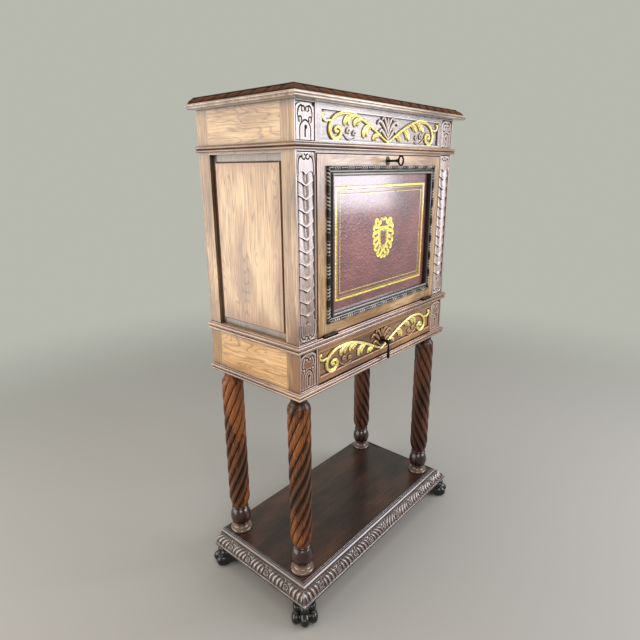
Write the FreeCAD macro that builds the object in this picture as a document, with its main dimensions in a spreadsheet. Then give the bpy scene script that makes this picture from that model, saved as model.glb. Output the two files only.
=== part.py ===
import FreeCAD, Part

import math
import os
import re

from FreeCAD import Placement, Rotation, Vector

# Vargueno: a fall-front case with one drawer, on four rope-twist columns and a moulded platform with
# paw feet. Millimetres, +Z up, the front faces -Y, origin on the floor at the centre of the platform.

doc = FreeCAD.newDocument("Vargueno")
sheet = doc.addObject("Spreadsheet::Sheet", "Sizes")

sizes = [
    # the stand
    ("footHeight", 56),
    ("footInset", 48),              # ankle centre to the platform's nose
    ("ankleRadius", 32),
    ("toeReach", 25),               # half length of a toe
    ("toeHalfWidth", 14.5),
    ("toeSpacing", 18),
    ("toeStepDepth", 7),            # how far the outer toes stand back
    ("toeOut", 45),                 # toe centre to ankle centre
    ("toeHeight", 18),
    ("knuckleReach", 24),
    ("knuckleOut", 37),
    ("knuckleHeight", 17),
    ("footDowelRadius", 8),
    ("footDowelLength", 18),
    ("footDowelIn", 20),            # dowel centre behind the ankle centre
    ("platformHeight", 50),
    ("platformNose", 45),           # moulding past the case at the front and sides
    ("platformBack", 4),            # board past the case at the back
    ("platformBoard", 22),
    ("backRail", 22),
    ("cornerBlock", 92),
    ("legLength", 583),
    ("legInsetX", 35),
    ("legInsetY", 38),
    ("legTenonRadius", 13),
    ("legTenonFoot", 37),
    ("legTenonHead", 17),
    ("baseRadius", 35.5),
    ("baseHeight", 28),
    ("ballRadius", 33.5),
    ("ballTop", 84),
    ("neckRadius", 21),
    ("reedBottom", 95),             # height on the leg where the reeds start
    ("reedHead", 47),               # how far below the leg's top they end
    ("shaftRadius", 33),
    ("shoulderHead", 23),           # the same for the shoulder
    ("reedDepth", 5),
    ("reedTaper", 34),              # length over which the reeds draw in at each end
    # the case
    ("caseWidth", 750),
    ("caseDepth", 357),
    ("drawerSection", 129),
    ("waistHeight", 23),
    ("doorOpening", 464),
    ("topRailHeight", 23),
    ("friezeHeight", 88),
    ("topThick", 32),
    ("topOverhang", 33),
    ("topFlatEdge", 6),             # overhang of the top's flat
    ("topSlopeDrop", 20),
    ("topLipRound", 5),
    ("bottomBoard", 20),
    ("postWidth", 73),
    ("postDepth", 45),
    ("backPostDepth", 45),
    ("sideThick", 22),
    ("backPanelThick", 10),
    ("backRebate", 10),
    ("ceilingThick", 12),
    ("friezeThick", 22),
    ("carvingDepth", 6),
    ("carvingSide", 20),
    ("carvingTop", 14),
    ("carvingBottom", 7),
    ("blockDepth", 3),              # sunk ground of the carved corner blocks
    ("blockMargin", 6),
    ("panelMargin", 20),
    ("panelFieldDepth", 7),
    ("panelMarginDepth", 12),
    ("panelTongue", 6),
    ("panelTongueIn", 8),
    ("bottomMould", 10.5),          # how far each moulding stands out
    ("waistMould", 11),
    ("middleMould", 11),
    ("middleMouldHeight", 17),
    ("shelfThick", 16),
    ("shelfSetback", 68),
    ("shelfHeight", 228),
    ("cleat", 18),
    # the fall front
    ("doorThick", 24),
    ("doorSideGap", 2),
    ("doorTopGap", 2.5),
    ("doorMouldSide", 34),
    ("doorMouldTop", 27),
    ("doorMouldBottom", 30),
    ("doorMouldWidth", 25),
    ("doorMouldProud", 8),
    ("doorMouldLip", 3),            # part of the moulding inside the frame's opening
    ("leatherSunk", 7),
    ("leatherThick", 1.8),
    ("doorPanelThick", 9),
    ("doorPanelIn", 7),
    # iron and brass work
    ("leafThick", 1.2),
    ("leafGap", 0.3),
    ("hingeLength", 50),
    ("hingeIn", 20),                # hinge's outer end from the door's side
    ("knuckleRadius", 4),
    ("knuckleStandoff", 4.3),
    ("pinRadius", 2),
    ("pinTip", 3.4),
    ("leafWidth", 20),
    ("keyDrop", 14.5),
    ("keyRadius", 3),
    ("keyOut", 53),
    ("bowHeight", 28),
    ("bowLength", 19),
    ("bowWire", 4),
    ("bowThick", 3.4),
    ("bitLength", 8),
    ("bitWidth", 2.6),
    ("escutcheonWidth", 20),
    ("escutcheonHeight", 24),
    ("escutcheonThick", 1.5),
    ("lockWidth", 44),
    ("lockHeight", 40),
    ("lockThick", 10),
    ("lockWall", 1.5),
    ("boltWidth", 18),
    ("boltThick", 3),
    ("boltTravel", 8),
    ("strikeThick", 1.5),
    ("strikeWidth", 46),
    ("strikeDepth", 16),
    ("stayRadius", 105),
    ("stayWidth", 9),
    ("stayThick", 3),
    ("stayIn", 11.5),               # plane of each stay from the door's side
    ("stayStop", 2.5),              # how far the stop stands past the strip
    ("stayPlate", 2),
    ("stayPlateWidth", 16),
    ("stayPlateHeight", 44),
    ("guideDepth", 12),
    ("guideBehindDoor", 4),
    ("guideWall", 3),
    # the drawer
    ("drawerFrontThick", 20),
    ("drawerGap", 1.5),
    ("drawerFrontLift", 3),
    ("drawerTopGap", 2.5),
    ("drawerBoxInset", 24),         # drawer side behind the opening's side
    ("drawerSideThick", 12),
    ("drawerSideHeight", 82),
    ("drawerLength", 288),
    ("drawerBottomThick", 6),
    ("drawerBottomLift", 6),
    ("drawerGroove", 5),
    ("runnerLift", 5),
    ("runnerWidth", 42),
    ("runnerGuide", 31),
    ("stopLength", 12),
    ("pullLift", 69),               # pull's pivot over the case bottom
    ("pullOut", 24),
    ("pullPlateRadius", 13),
    ("pullPlateThick", 2),
    ("pullPostRadius", 4),
    ("pullEyeRadius", 5.5),
    ("pullPinRadius", 2),
    ("dropLength", 55),
    ("dropBulb", 5),
    ("dropStem", 2.3),
    ("dropEyeThick", 4),
    # fits and cuts
    ("fit", 0.3),
    ("pinFit", 0.05),
    ("looseFit", 1.5),
    ("mitreSpan", 150),
    ("overrun", 1),
]

for row, (word, value) in enumerate(sizes, start=1):
    sheet.set("A%d" % row, word)
    sheet.set("B%d" % row, str(value))
    sheet.setAlias("B%d" % row, word)
doc.recompute()
words = {word for word, value in sizes}

toeSplay = 11                       # degrees between two toes
reedCount = 8
reedTurns = 1.05                    # turns of the twist over the reeded length
reedSteps = 22
reedShares = ((0, 1), (0.13, 0.35), (0.34, 0), (0.66, 0), (0.87, 0.35))   # along a reed, and its depth
shoulderShare = 0.93                # the shoulder's radius where the reeds end, as a share of the shaft's
diagonalShare = math.sqrt(0.5)

# levels and planes worked out from the sizes
platformTop = "(footHeight + platformHeight)"
caseBottom = "(footHeight + platformHeight + legLength)"
postBottom = f"({caseBottom} + bottomBoard)"
drawerTop = f"({caseBottom} + drawerSection)"
sillTop = f"({drawerTop} + waistHeight)"
openingTop = f"({sillTop} + doorOpening)"
friezeBottom = f"({openingTop} + topRailHeight)"
caseTop = f"({friezeBottom} + friezeHeight)"
halfDeep = "((caseDepth + platformNose + platformBack) / 2)"
caseFront = f"(platformNose - {halfDeep})"
caseBack = f"({halfDeep} - platformBack)"
postBack = f"({caseFront} + postDepth)"
backPostFront = f"({caseBack} - backPostDepth)"
side = "(caseWidth / 2)"
inner = "(caseWidth / 2 - sideThick)"
opening = "(caseWidth / 2 - postWidth)"
backFace = f"({caseBack} - backPanelThick)"
doorHalf = f"({opening} - doorSideGap)"
doorBottom = f"({sillTop} + 2 * leafThick + leafGap)"
doorTop = f"({openingTop} - doorTopGap)"
doorBack = f"({caseFront} + doorThick)"
hingeX = f"({doorHalf} - hingeIn - hingeLength)"
hingeY = f"({caseFront} - knuckleStandoff)"
hingeZ = f"({sillTop} + leafThick + leafGap / 2)"
stayX = f"({doorHalf} - stayIn)"
keyZ = f"({doorTop} - keyDrop)"
drawerSide = f"({opening} - drawerBoxInset)"
drawerFloor = f"({postBottom} + runnerLift)"


def bound(text):
    return re.sub(r"[A-Za-z]\w*", lambda word: "Sizes." * (word.group() in words) + word.group(), text)


def mm(text):
    return float(sheet.evalExpression(bound(text)))


def bind(thing, **texts):
    for name, text in texts.items():
        thing.setExpression(name.replace("_", "."), bound(text))
    return thing


def place(thing, x="0", y="0", z="0"):
    return bind(thing, Placement_Base_x=x, Placement_Base_y=y, Placement_Base_z=z)


def block(name, x, y, z):
    thing = doc.addObject("Part::Box", name)
    bind(thing, Length=f"{x[1]} - ({x[0]})", Width=f"{y[1]} - ({y[0]})", Height=f"{z[1]} - ({z[0]})")
    return place(thing, x[0], y[0], z[0])


def rod(name, radius, length, x, y, z, toward=(0, 0, 1)):
    thing = doc.addObject("Part::Cylinder", name)
    thing.Placement = Placement(Vector(), Rotation(Vector(0, 0, 1), Vector(*toward)))
    bind(thing, Radius=radius, Height=length)
    return place(thing, x, y, z)


def cut(name, base, *tools):
    thing = doc.addObject("Part::Cut", name)
    thing.Base = base
    thing.Tool = tools[0] if len(tools) == 1 else joined(name + "Tools", *tools)
    return thing


def joined(name, *pieces):
    thing = doc.addObject("Part::MultiFuse", name)
    thing.Shapes = list(pieces)
    return thing


def mirrored(name, source, normal=(1, 0, 0)):
    thing = doc.addObject("Part::Mirroring", name)
    thing.Source = source
    thing.Normal = Vector(*normal)
    return thing


def group(name, *pieces):
    thing = doc.addObject("Part::Compound", name)
    thing.Links = list(pieces)
    return thing


def pair(name, left):
    return group(name, left, mirrored(name + "Right", left))


def outline(name, points, across=(1, 0, 0), up=(0, 0, 1)):
    """A closed sketch: each point is (a, b), or (middle, end) for an arc through the middle."""
    sketch = doc.addObject("Sketcher::SketchObject", name)
    last = Vector(*points[-1][1], 0) if isinstance(points[-1][0], tuple) else Vector(*points[-1], 0)
    for point in points:
        if isinstance(point[0], tuple):
            middle, end = Vector(*point[0], 0), Vector(*point[1], 0)
            sketch.addGeometry(Part.Arc(last, middle, end))
        else:
            end = Vector(*point, 0)
            if (end - last).Length > 0:
                sketch.addGeometry(Part.LineSegment(last, end))
        last = end
    acrossAxis, upAxis = Vector(*across), Vector(*up)
    sketch.Placement = Placement(Vector(), Rotation(acrossAxis, upAxis, acrossAxis.cross(upAxis), "XYZ"))
    return sketch


def extruded(name, sketch, length, x="0", y="0", z="0"):
    place(sketch, x, y, z)
    thing = doc.addObject("Part::Extrusion", name)
    thing.Base = sketch
    thing.DirMode = "Normal"
    thing.Solid = True
    return bind(thing, LengthFwd=length)


def turned(name, sketch):
    thing = doc.addObject("Part::Revolution", name)
    thing.Source = sketch
    thing.Axis = Vector(0, 0, 1)
    thing.Base = Vector(0, 0, 0)
    thing.Angle = 360
    thing.Solid = True
    return thing


def mitre(name, at, away, flat):
    """A block that takes off all that lies past the point, on the side that away points to."""
    along = Vector(*away).normalize()
    normal = Vector(*flat)
    cross = normal.cross(along)
    tool = doc.addObject("Part::Box", name)
    tool.Placement = Placement(Vector(), Rotation(along, cross, normal, "XYZ"))
    bind(tool, Length="mitreSpan", Width="2 * mitreSpan", Height="2 * mitreSpan")
    back = cross + normal
    return place(tool, *[f"{place} - mitreSpan * {share:.9f}" for place, share in zip(at, back)])


def scaled(shares, wide, high):
    points = []
    for point in shares:
        if isinstance(point[0], tuple):
            points.append(tuple((a * wide, b * high) for a, b in point))
        else:
            points.append((point[0] * wide, point[1] * high))
    return points


def frontMoulding(name, shares, nose, low, height):
    """Profile run across the front, mitred at both ends."""
    profile = outline(name + "Profile", scaled(shares, mm(nose), mm(height)), (0, -1, 0))
    length = f"caseWidth + 2 * {nose}"
    run = extruded(name + "Run", profile, length, f"{side} + {nose}", caseFront, low)
    right = mitre(name + "MitreRight", (side, caseFront, low), (1, 1, 0), (0, 0, 1))
    left = mitre(name + "MitreLeft", (f"-{side}", caseFront, low), (-1, 1, 0), (0, 0, 1))
    return cut(name, run, right, left)


def sideMoulding(name, shares, nose, low, height, back):
    """The same profile down the left side, mitred at the front and square at the back."""
    profile = outline(name + "Profile", scaled(shares, mm(nose), mm(height)), (-1, 0, 0))
    length = f"{back} - {caseFront} + {nose}"
    run = extruded(name + "Run", profile, length, f"-{side}", f"{caseFront} - {nose}", low)
    front = mitre(name + "Mitre", (f"-{side}", caseFront, low), (1, -1, 0), (0, 0, 1))
    return cut(name, run, front)


nodes = []


def node(name, thing):
    thing.Label = name
    nodes.append(thing)
    return thing


# paw feet, one at each corner of the platform, toes out along the diagonal
def oval(name, reach, width, height, out, across, lift, turn):
    thing = doc.addObject("Part::Ellipsoid", name)
    bind(thing, Radius2=reach, Radius3=width, Radius1=height)
    thing.Placement = Placement(Vector(), Rotation(Vector(0, 0, 1), turn))
    return place(thing, out, across, lift)


pawParts = [rod("Ankle", "ankleRadius", "footHeight", "0", "0", "0")]
toeRows = ((-1.5, "toeStepDepth"), (-0.5, "0"), (0.5, "0"), (1.5, "toeStepDepth"))
for count, (row, step) in enumerate(toeRows):
    splay = row * toeSplay
    across = f"{row} * toeSpacing"
    pawParts.append(oval(f"Toe{count}", "toeReach", "toeHalfWidth", "toeHeight",
                         f"toeOut - {step}", across, "toeHeight - 2 * overrun", splay))
    pawParts.append(oval(f"Knuckle{count}", "knuckleReach", "toeHalfWidth", "knuckleHeight",
                         f"knuckleOut - {step}", across, "footHeight - knuckleHeight + overrun", splay))
pawSpan = "(toeOut + toeReach + ankleRadius)"
pawStock = block("PawStock", (f"-{pawSpan}", pawSpan), (f"-{pawSpan}", pawSpan), ("0", "footHeight"))
pawForm = doc.addObject("Part::Common", "PawForm")
pawForm.Base, pawForm.Tool = joined("PawRough", *pawParts), pawStock
pawDowel = rod("PawDowel", "footDowelRadius", "footHeight / 2 + footDowelLength", "-footDowelIn", "0",
               "footHeight / 2")
paw = joined("Paw", pawForm, pawDowel)

footX = "(caseWidth / 2 + platformNose - footInset)"
footY = f"({halfDeep} - footInset)"
for end, ySign, turns in (("front", "-", (-135, -45)), ("back", "", (135, 45))):
    for hand, xSign, turn in (("left", "-", turns[0]), ("right", "", turns[1])):
        foot = group(f"foot_{end}_{hand}", paw)
        foot.Placement = Placement(Vector(), Rotation(Vector(0, 0, 1), turn))
        node(f"foot_{end}_{hand}", place(foot, xSign + footX, ySign + footY))

# the platform: a board, glue blocks under its corners, a back rail, and a moulding on three sides
boardBottom = f"({platformTop} - platformBoard)"
legX = f"({side} - legInsetX)"
legPlaces = {"front": f"({caseFront} + legInsetY)", "back": f"({caseBack} - legInsetY)"}
dowelX = f"({footX} - footDowelIn * {diagonalShare:.9f})"
dowelY = f"({footY} - footDowelIn * {diagonalShare:.9f})"
legHoles = []
dowelHoles = []
for sign in ("-", ""):
    for end, y in legPlaces.items():
        legHoles.append(rod(f"LegHole{len(legHoles)}", "legTenonRadius + fit", "legTenonFoot + 2 * fit",
                            f"{sign}{legX}", y, f"{platformTop} + fit", (0, 0, -1)))
    for ySign in ("-", ""):
        dowelHoles.append(rod(f"DowelHole{len(dowelHoles)}", "footDowelRadius + fit",
                              "footDowelLength + overrun + fit", f"{sign}{dowelX}", f"{ySign}{dowelY}",
                              "footHeight - overrun"))
boardStock = block("BoardStock", (f"-{side}", side), (caseFront, halfDeep), (boardBottom, platformTop))
node("platform_board", cut("PlatformBoard", boardStock, *legHoles))
node("platform_back_rail", block("BackRail", (f"-{side}", side), (f"{halfDeep} - backRail", halfDeep),
                                 ("footHeight", boardBottom)))
blocks = []
for sign, x in (("Left", (f"-{side}", f"cornerBlock - {side}")), ("Right", (f"{side} - cornerBlock", side))):
    for end, y in (("Front", (caseFront, f"{caseFront} + cornerBlock")),
                   ("Back", (f"{halfDeep} - backRail - cornerBlock", f"{halfDeep} - backRail"))):
        blocks.append(block("Block" + sign + end, x, y, ("footHeight", boardBottom)))
node("platform_corner_blocks", cut("CornerBlocks", group("BlockStock", *blocks),
                                   *[doc.copyObject(hole) for hole in legHoles], *dowelHoles))

platformShares = [
    (0, 0), (0.80, 0), (0.95, 0.12), (1, 0.16), (1, 0.25), (0.965, 0.28),
    ((0.86, 0.60), (0.50, 0.83)), ((0.36, 0.86), (0.245, 0.985)),
    ((0.178, 1.05), (0.11, 0.985)), ((0.065, 1.02), (0.02, 0.985)), (0, 0.985),
]
node("platform_moulding_front",
     frontMoulding("PlatformFront", platformShares, "platformNose", "footHeight", "platformHeight"))
node("platform_moulding_sides",
     pair("PlatformSides", sideMoulding("PlatformSide", platformShares, "platformNose", "footHeight",
                                        "platformHeight", halfDeep)))


# turned columns: base, ball and neck, a rope-twist reeded shaft, and a plain shoulder
def reedLevel(height, radius, depth, turn):
    """The corners of one level: each reed is rounded in five flats between two grooves."""
    corners = []
    for reed in range(reedCount):
        for share, sunk in reedShares:
            angle = 2 * math.pi * (reed + share) / reedCount + turn
            reach = radius - depth * sunk
            corners.append(Vector(reach * math.cos(angle), reach * math.sin(angle), height))
    return corners


def triangle(*corners):
    return Part.Face(Part.makePolygon([*corners, corners[0]]))


def twistedShaft(name):
    """Flats between the levels, each level turned a little further, drawn in at both ends."""
    low, high, taper = mm("reedBottom"), mm("legLength - reedHead"), mm("reedTaper")
    thin, full = mm("neckRadius"), mm("shaftRadius")
    levels = []
    for step in range(reedSteps + 1):
        share = step / reedSteps
        height = low + (high - low) * share
        swell = math.sqrt(math.sin(min(height - low, high - height, taper) / taper * math.pi / 2))
        end = thin if share < 0.5 else full * shoulderShare
        depth = mm("reedDepth") * (1 + 2 * swell) / 3
        levels.append(reedLevel(height, end + (full - end) * swell, depth, 2 * math.pi * reedTurns * share))
    faces = [Part.Face(Part.makePolygon(level + level[:1])) for level in (levels[0], levels[-1])]
    for lower, upper in zip(levels, levels[1:]):
        for count in range(len(lower)):
            after = (count + 1) % len(lower)
            faces.append(triangle(lower[count], lower[after], upper[count]))
            faces.append(triangle(lower[after], upper[after], upper[count]))
    shell = Part.makeShell(faces)
    shell.sewShape()
    shaft = doc.addObject("Part::Feature", name)
    shaft.Shape = Part.makeSolid(shell)
    return shaft


base, ball, neck, full = mm("baseRadius"), mm("ballRadius"), mm("neckRadius"), mm("shaftRadius")
baseTop, ballTop, reedLow = mm("baseHeight"), mm("ballTop"), mm("reedBottom")
legLong, tenon = mm("legLength"), mm("legTenonRadius")
reedHigh, shoulder = mm("legLength - reedHead"), mm("legLength - shoulderHead")
footLong, headLong = mm("legTenonFoot"), mm("legTenonHead")
lowerColumn = turned("LowerColumn", outline("LowerColumnProfile", [
    (0, -footLong), (tenon, -footLong), (tenon, 0), (base * 0.96, 0),
    ((base, baseTop * 0.22), (base * 0.94, baseTop * 0.46)),
    ((base * 0.70, baseTop * 0.62), (neck, baseTop)),
    ((ball, (baseTop + ballTop) / 2), (neck * 1.15, ballTop)), (ball * 0.82, ballTop),
    ((ball * 0.88, (ballTop + reedLow) / 2 - neck * 0.09), (ball * 0.80, reedLow - neck * 0.14)),
    (neck * 0.94, reedLow), (neck * 0.94, reedLow + neck), (0, reedLow + neck)]))
upperColumn = turned("UpperColumn", outline("UpperColumnProfile", [
    (0, reedHigh - neck), (full * 0.84, reedHigh - neck), (full * 0.84, reedHigh),
    (full * 0.97, reedHigh), ((full * 0.93, (reedHigh + shoulder) / 2), (neck * 1.12, shoulder)),
    (neck, shoulder), (neck, legLong), (tenon, legLong), (tenon, legLong + headLong),
    (0, legLong + headLong)]))
leftColumn = joined("LeftColumn", lowerColumn, twistedShaft("Shaft"), upperColumn)
rightColumn = mirrored("RightColumn", leftColumn)
for end, y in legPlaces.items():
    node(f"leg_{end}_left", place(group(f"leg_{end}_left", leftColumn), f"-{legX}", y, platformTop))
    node(f"leg_{end}_right", place(group(f"leg_{end}_right", rightColumn), legX, y, platformTop))

# the case: bottom board, corner posts, side boards and fielded panels, floor, ceiling, back and top
headHoles = []
for sign in ("-", ""):
    for y in legPlaces.values():
        headHoles.append(rod(f"HeadHole{len(headHoles)}", "legTenonRadius + fit",
                             "legTenonHead + fit + overrun", f"{sign}{legX}", y, f"{caseBottom} - overrun"))
bottomStock = block("BottomStock", (f"-{side}", side), (caseFront, caseBack), (caseBottom, postBottom))
node("case_bottom_board", cut("CaseBottomBoard", bottomStock, *headHoles))

beadShares = [
    (0, 0), (0.55, 0), ((0.90, 0.21), (0.55, 0.42)), (0.50, 0.47), (0.70, 0.47),
    ((1.0, 0.70), (0.70, 0.93)), (0.45, 0.93), (0.38, 1), (0, 1),
]
node("bottom_moulding_front",
     frontMoulding("BottomFront", beadShares, "bottomMould", caseBottom, "bottomBoard"))
node("bottom_moulding_sides",
     pair("BottomSides", sideMoulding("BottomSide", beadShares, "bottomMould", caseBottom,
                                      "bottomBoard", caseBack)))

grooveX = (f"-{side} + panelMarginDepth - fit / 2", f"-{side} + panelMarginDepth + panelTongue + fit / 2")
grooveZ = (f"{sillTop} - fit", f"{openingTop} + fit")


def carvedGround(name, low, high):
    """The sunk ground of a carved field on a front post."""
    return block(name, (f"-{side} + blockMargin", f"-{opening} - blockMargin"),
                 (f"{caseFront} - overrun", f"{caseFront} + blockDepth"), (low, high))


frontPost = cut(
    "FrontPost",
    block("FrontPostStock", (f"-{side}", f"-{opening}"), (caseFront, postBack), (postBottom, caseTop)),
    block("FrontPostGroove", grooveX, (f"{postBack} - panelTongueIn - fit", f"{postBack} + overrun"),
          grooveZ),
    carvedGround("LowBlockGround", f"{postBottom} + blockMargin", f"{drawerTop} - blockMargin"),
    carvedGround("PostGround", f"{sillTop} + blockMargin", f"{openingTop} - blockMargin"),
    carvedGround("HighBlockGround", f"{friezeBottom} + blockMargin", f"{caseTop} - blockMargin"))
node("post_front_left", frontPost)
node("post_front_right", mirrored("FrontPostRight", frontPost))
backPost = cut(
    "BackPost",
    block("BackPostStock", (f"-{side}", f"-{inner}"), (backPostFront, caseBack), (postBottom, caseTop)),
    block("BackPostGroove", grooveX,
          (f"{backPostFront} - overrun", f"{backPostFront} + panelTongueIn + fit"), grooveZ),
    block("BackPostRebate", (f"-{inner} - backRebate", f"-{inner} + overrun"),
          (backFace, f"{caseBack} + overrun"), (f"{postBottom} - overrun", f"{caseTop} + overrun")))
node("post_back_left", backPost)
node("post_back_right", mirrored("BackPostRight", backPost))
boardX = (f"-{side}", f"-{inner}")
boardY = (postBack, backPostFront)
node("lower_side_boards", pair("LowerSides", block("LowerSide", boardX, boardY, (postBottom, sillTop))))
node("upper_side_boards", pair("UpperSides", block("UpperSide", boardX, boardY, (openingTop, caseTop))))

# fielded panel: a raised field with a bevel, a margin, and tongues let into the posts
panelBody = block("PanelBody", (f"-{side} + panelMarginDepth", f"-{inner}"), boardY, (sillTop, openingTop))
panelField = block("PanelField", (f"-{side} + panelFieldDepth", f"-{side} + panelMarginDepth"),
                   (f"{postBack} + panelMargin", f"{backPostFront} - panelMargin"),
                   (f"{sillTop} + panelMargin", f"{openingTop} - panelMargin"))
panelEdge = block("PanelEdge", (f"-{side} + panelMarginDepth", f"-{side} + panelMarginDepth + panelTongue"),
                  (f"{postBack} - panelTongueIn", f"{backPostFront} + panelTongueIn"),
                  (sillTop, openingTop))
sharpPanel = joined("SharpPanel", panelBody, panelField, panelEdge)
bevelled = doc.addObject("Part::Chamfer", "BevelledPanel")
bevelled.Base = sharpPanel
node("side_panel_left", bevelled)
node("side_panel_right", mirrored("SidePanelRight", bevelled))

floorFront = block("FloorFront", (f"-{opening}", opening), (caseFront, postBack), (drawerTop, sillTop))
floorBack = block("FloorBack", (f"-{inner}", inner), (postBack, backFace), (drawerTop, sillTop))
staySlotX = (f"{stayX} - stayThick / 2 - looseFit", f"{stayX} + stayThick / 2 + looseFit")
stayReach = "(stayRadius + stayWidth / 2 + stayStop + looseFit)"
stayNear = f"({hingeY} + (stayRadius - stayWidth / 2 - stayStop) * 0.95 - looseFit)"
staySlot = block("StaySlot", staySlotX, (stayNear, f"{hingeY} + {stayReach}"),
                 (f"{drawerTop} - overrun", f"{sillTop} + overrun"))
node("case_floor_board", cut("FloorBoard", joined("FloorStock", floorFront, floorBack), staySlot,
                             mirrored("StaySlotLeft", staySlot)))
hingeNotch = block("HingeNotch",
                   (f"{hingeX} - pinTip - 2 * fit", f"{hingeX} + hingeLength + pinTip + 2 * fit"),
                   (f"{hingeY} - knuckleRadius - overrun", f"{caseFront} + overrun"),
                   (f"{hingeZ} - knuckleRadius - overrun", f"{sillTop} + overrun"))
waistPlain = frontMoulding("WaistPlain", beadShares, "waistMould", drawerTop, "waistHeight")
node("waist_moulding_front",
     cut("WaistFront", waistPlain, hingeNotch, mirrored("HingeNotchLeft", hingeNotch)))
node("waist_moulding_sides",
     pair("WaistSides", sideMoulding("WaistSide", beadShares, "waistMould", drawerTop, "waistHeight",
                                     caseBack)))
middleLow = f"({friezeBottom} - middleMouldHeight)"
node("middle_moulding_front",
     frontMoulding("MiddleFront", beadShares, "middleMould", middleLow, "middleMouldHeight"))
node("middle_moulding_sides",
     pair("MiddleSides", sideMoulding("MiddleSide", beadShares, "middleMould", middleLow,
                                      "middleMouldHeight", caseBack)))

boltY = f"({doorBack} + lockThick / 2 - lockWall)"
railStock = block("RailStock", (f"-{opening}", opening), (caseFront, postBack), (openingTop, friezeBottom))
strikeX = ("-strikeWidth / 2", "strikeWidth / 2")
strikeY = (f"{boltY} - strikeDepth / 2", f"{boltY} + strikeDepth / 2")
strikeSeat = block("StrikeSeat", strikeX, strikeY,
                   (f"{openingTop} - overrun", f"{openingTop} + strikeThick"))
boltHoleX = ("-boltWidth / 2 - looseFit", "boltWidth / 2 + looseFit")
boltHoleY = (f"{boltY} - boltThick / 2 - looseFit", f"{boltY} + boltThick / 2 + looseFit")
boltHole = block("BoltHole", boltHoleX, boltHoleY,
                 (f"{openingTop} - overrun", f"{openingTop} + boltTravel + looseFit"))
node("front_top_rail", cut("TopRail", railStock, strikeSeat, boltHole))
strikeStock = block("StrikeStock", strikeX, strikeY, (openingTop, f"{openingTop} + strikeThick"))
node("strike_plate", cut("StrikePlate", strikeStock, doc.copyObject(boltHole)))
friezeStock = block("FriezeStock", (f"-{opening}", opening), (caseFront, f"{caseFront} + friezeThick"),
                    (friezeBottom, caseTop))
friezeGround = block("FriezeGround", (f"-{opening} + carvingSide", f"{opening} - carvingSide"),
                     (f"{caseFront} - overrun", f"{caseFront} + carvingDepth"),
                     (f"{friezeBottom} + carvingBottom", f"{caseTop} - carvingTop"))
node("frieze_panel", cut("FriezePanel", friezeStock, friezeGround))
node("ceiling_board", block("Ceiling", (f"-{inner}", inner), (postBack, backFace),
                            (openingTop, f"{openingTop} + ceilingThick")))
node("back_panel", block("BackPanel", (f"-{inner} - backRebate", f"{inner} + backRebate"),
                         (backFace, caseBack), (postBottom, caseTop)))

topStock = block("TopStock", (f"-{side} - topOverhang", f"{side} + topOverhang"),
                 (f"{caseFront} - topOverhang", caseBack), (caseTop, f"{caseTop} + topThick"))
topCut = doc.addObject("Part::Chamfer", "TopSlope")
topCut.Base = topStock
topRound = doc.addObject("Part::Fillet", "TopLip")
topRound.Base = topCut
node("top_board", topRound)

shelfZ = f"({sillTop} + shelfHeight)"
shelfY = (f"{caseFront} + shelfSetback", backFace)
node("shelf", block("Shelf", (f"-{inner}", inner), shelfY, (shelfZ, f"{shelfZ} + shelfThick")))
node("shelf_cleats", pair("ShelfCleats", block("ShelfCleat", (f"-{inner}", f"-{inner} + cleat"),
                                               (shelfY[0], backPostFront), (f"{shelfZ} - cleat", shelfZ))))

# the fall front: stiles through, rails between, a panel in grooves, leather, and an applied moulding
mouldIn = "(doorMouldWidth - doorMouldLip)"
doorX = f"({doorHalf} - doorMouldSide - {mouldIn})"
railLow = (doorBottom, f"({doorBottom} + doorMouldBottom + {mouldIn})")
railHigh = (f"({doorTop} - doorMouldTop - {mouldIn})", doorTop)
doorY = (caseFront, doorBack)
leatherFace = f"({caseFront} + leatherSunk)"
panelFront = f"({leatherFace} + leatherThick)"
doorPanelX = (f"-{doorX} - doorPanelIn", f"{doorX} + doorPanelIn")
doorPanelZ = (f"{railLow[1]} - doorPanelIn", f"{railHigh[0]} + doorPanelIn")
doorGroove = block("DoorGroove", (f"{doorPanelX[0]} - fit", f"{doorPanelX[1]} + fit"),
                   (panelFront, f"{panelFront} + doorPanelThick"),
                   (f"{doorPanelZ[0]} - fit", f"{doorPanelZ[1]} + fit"))
stile = block("Stile", (f"-{doorHalf}", f"-{doorX}"), doorY, (doorBottom, doorTop))
node("door_stiles", pair("DoorStiles", cut("DoorStile", stile, doorGroove)))
lowRail = block("LowRail", (f"-{doorX}", doorX), doorY, railLow)
node("door_bottom_rail", cut("DoorBottomRail", lowRail, doc.copyObject(doorGroove)))
keyHole = rod("KeyHole", "keyRadius + fit", f"doorThick + 2 * overrun", "0", f"{caseFront} - overrun", keyZ,
              (0, 1, 0))
bitHole = block("BitHole", ("-bitWidth / 2 - fit", "bitWidth / 2 + fit"),
                (f"{caseFront} - escutcheonThick - overrun", f"{doorBack} + lockWall + overrun"),
                (f"{keyZ} - bitLength - fit", keyZ))
keyWay = joined("KeyWay", keyHole, bitHole)
highRail = block("HighRail", (f"-{doorX}", doorX), doorY, railHigh)
node("door_top_rail", cut("DoorTopRail", highRail, doc.copyObject(doorGroove), keyWay))
node("door_panel", block("DoorPanel", doorPanelX, (panelFront, f"{panelFront} + doorPanelThick"),
                         doorPanelZ))
node("door_leather", block("DoorLeather", (f"-{doorX}", doorX), (leatherFace, panelFront),
                           (railLow[1], railHigh[0])))

mouldX = f"({doorHalf} - doorMouldSide)"
mouldLow = f"({doorBottom} + doorMouldBottom)"
mouldHigh = f"({doorTop} - doorMouldTop)"


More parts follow.
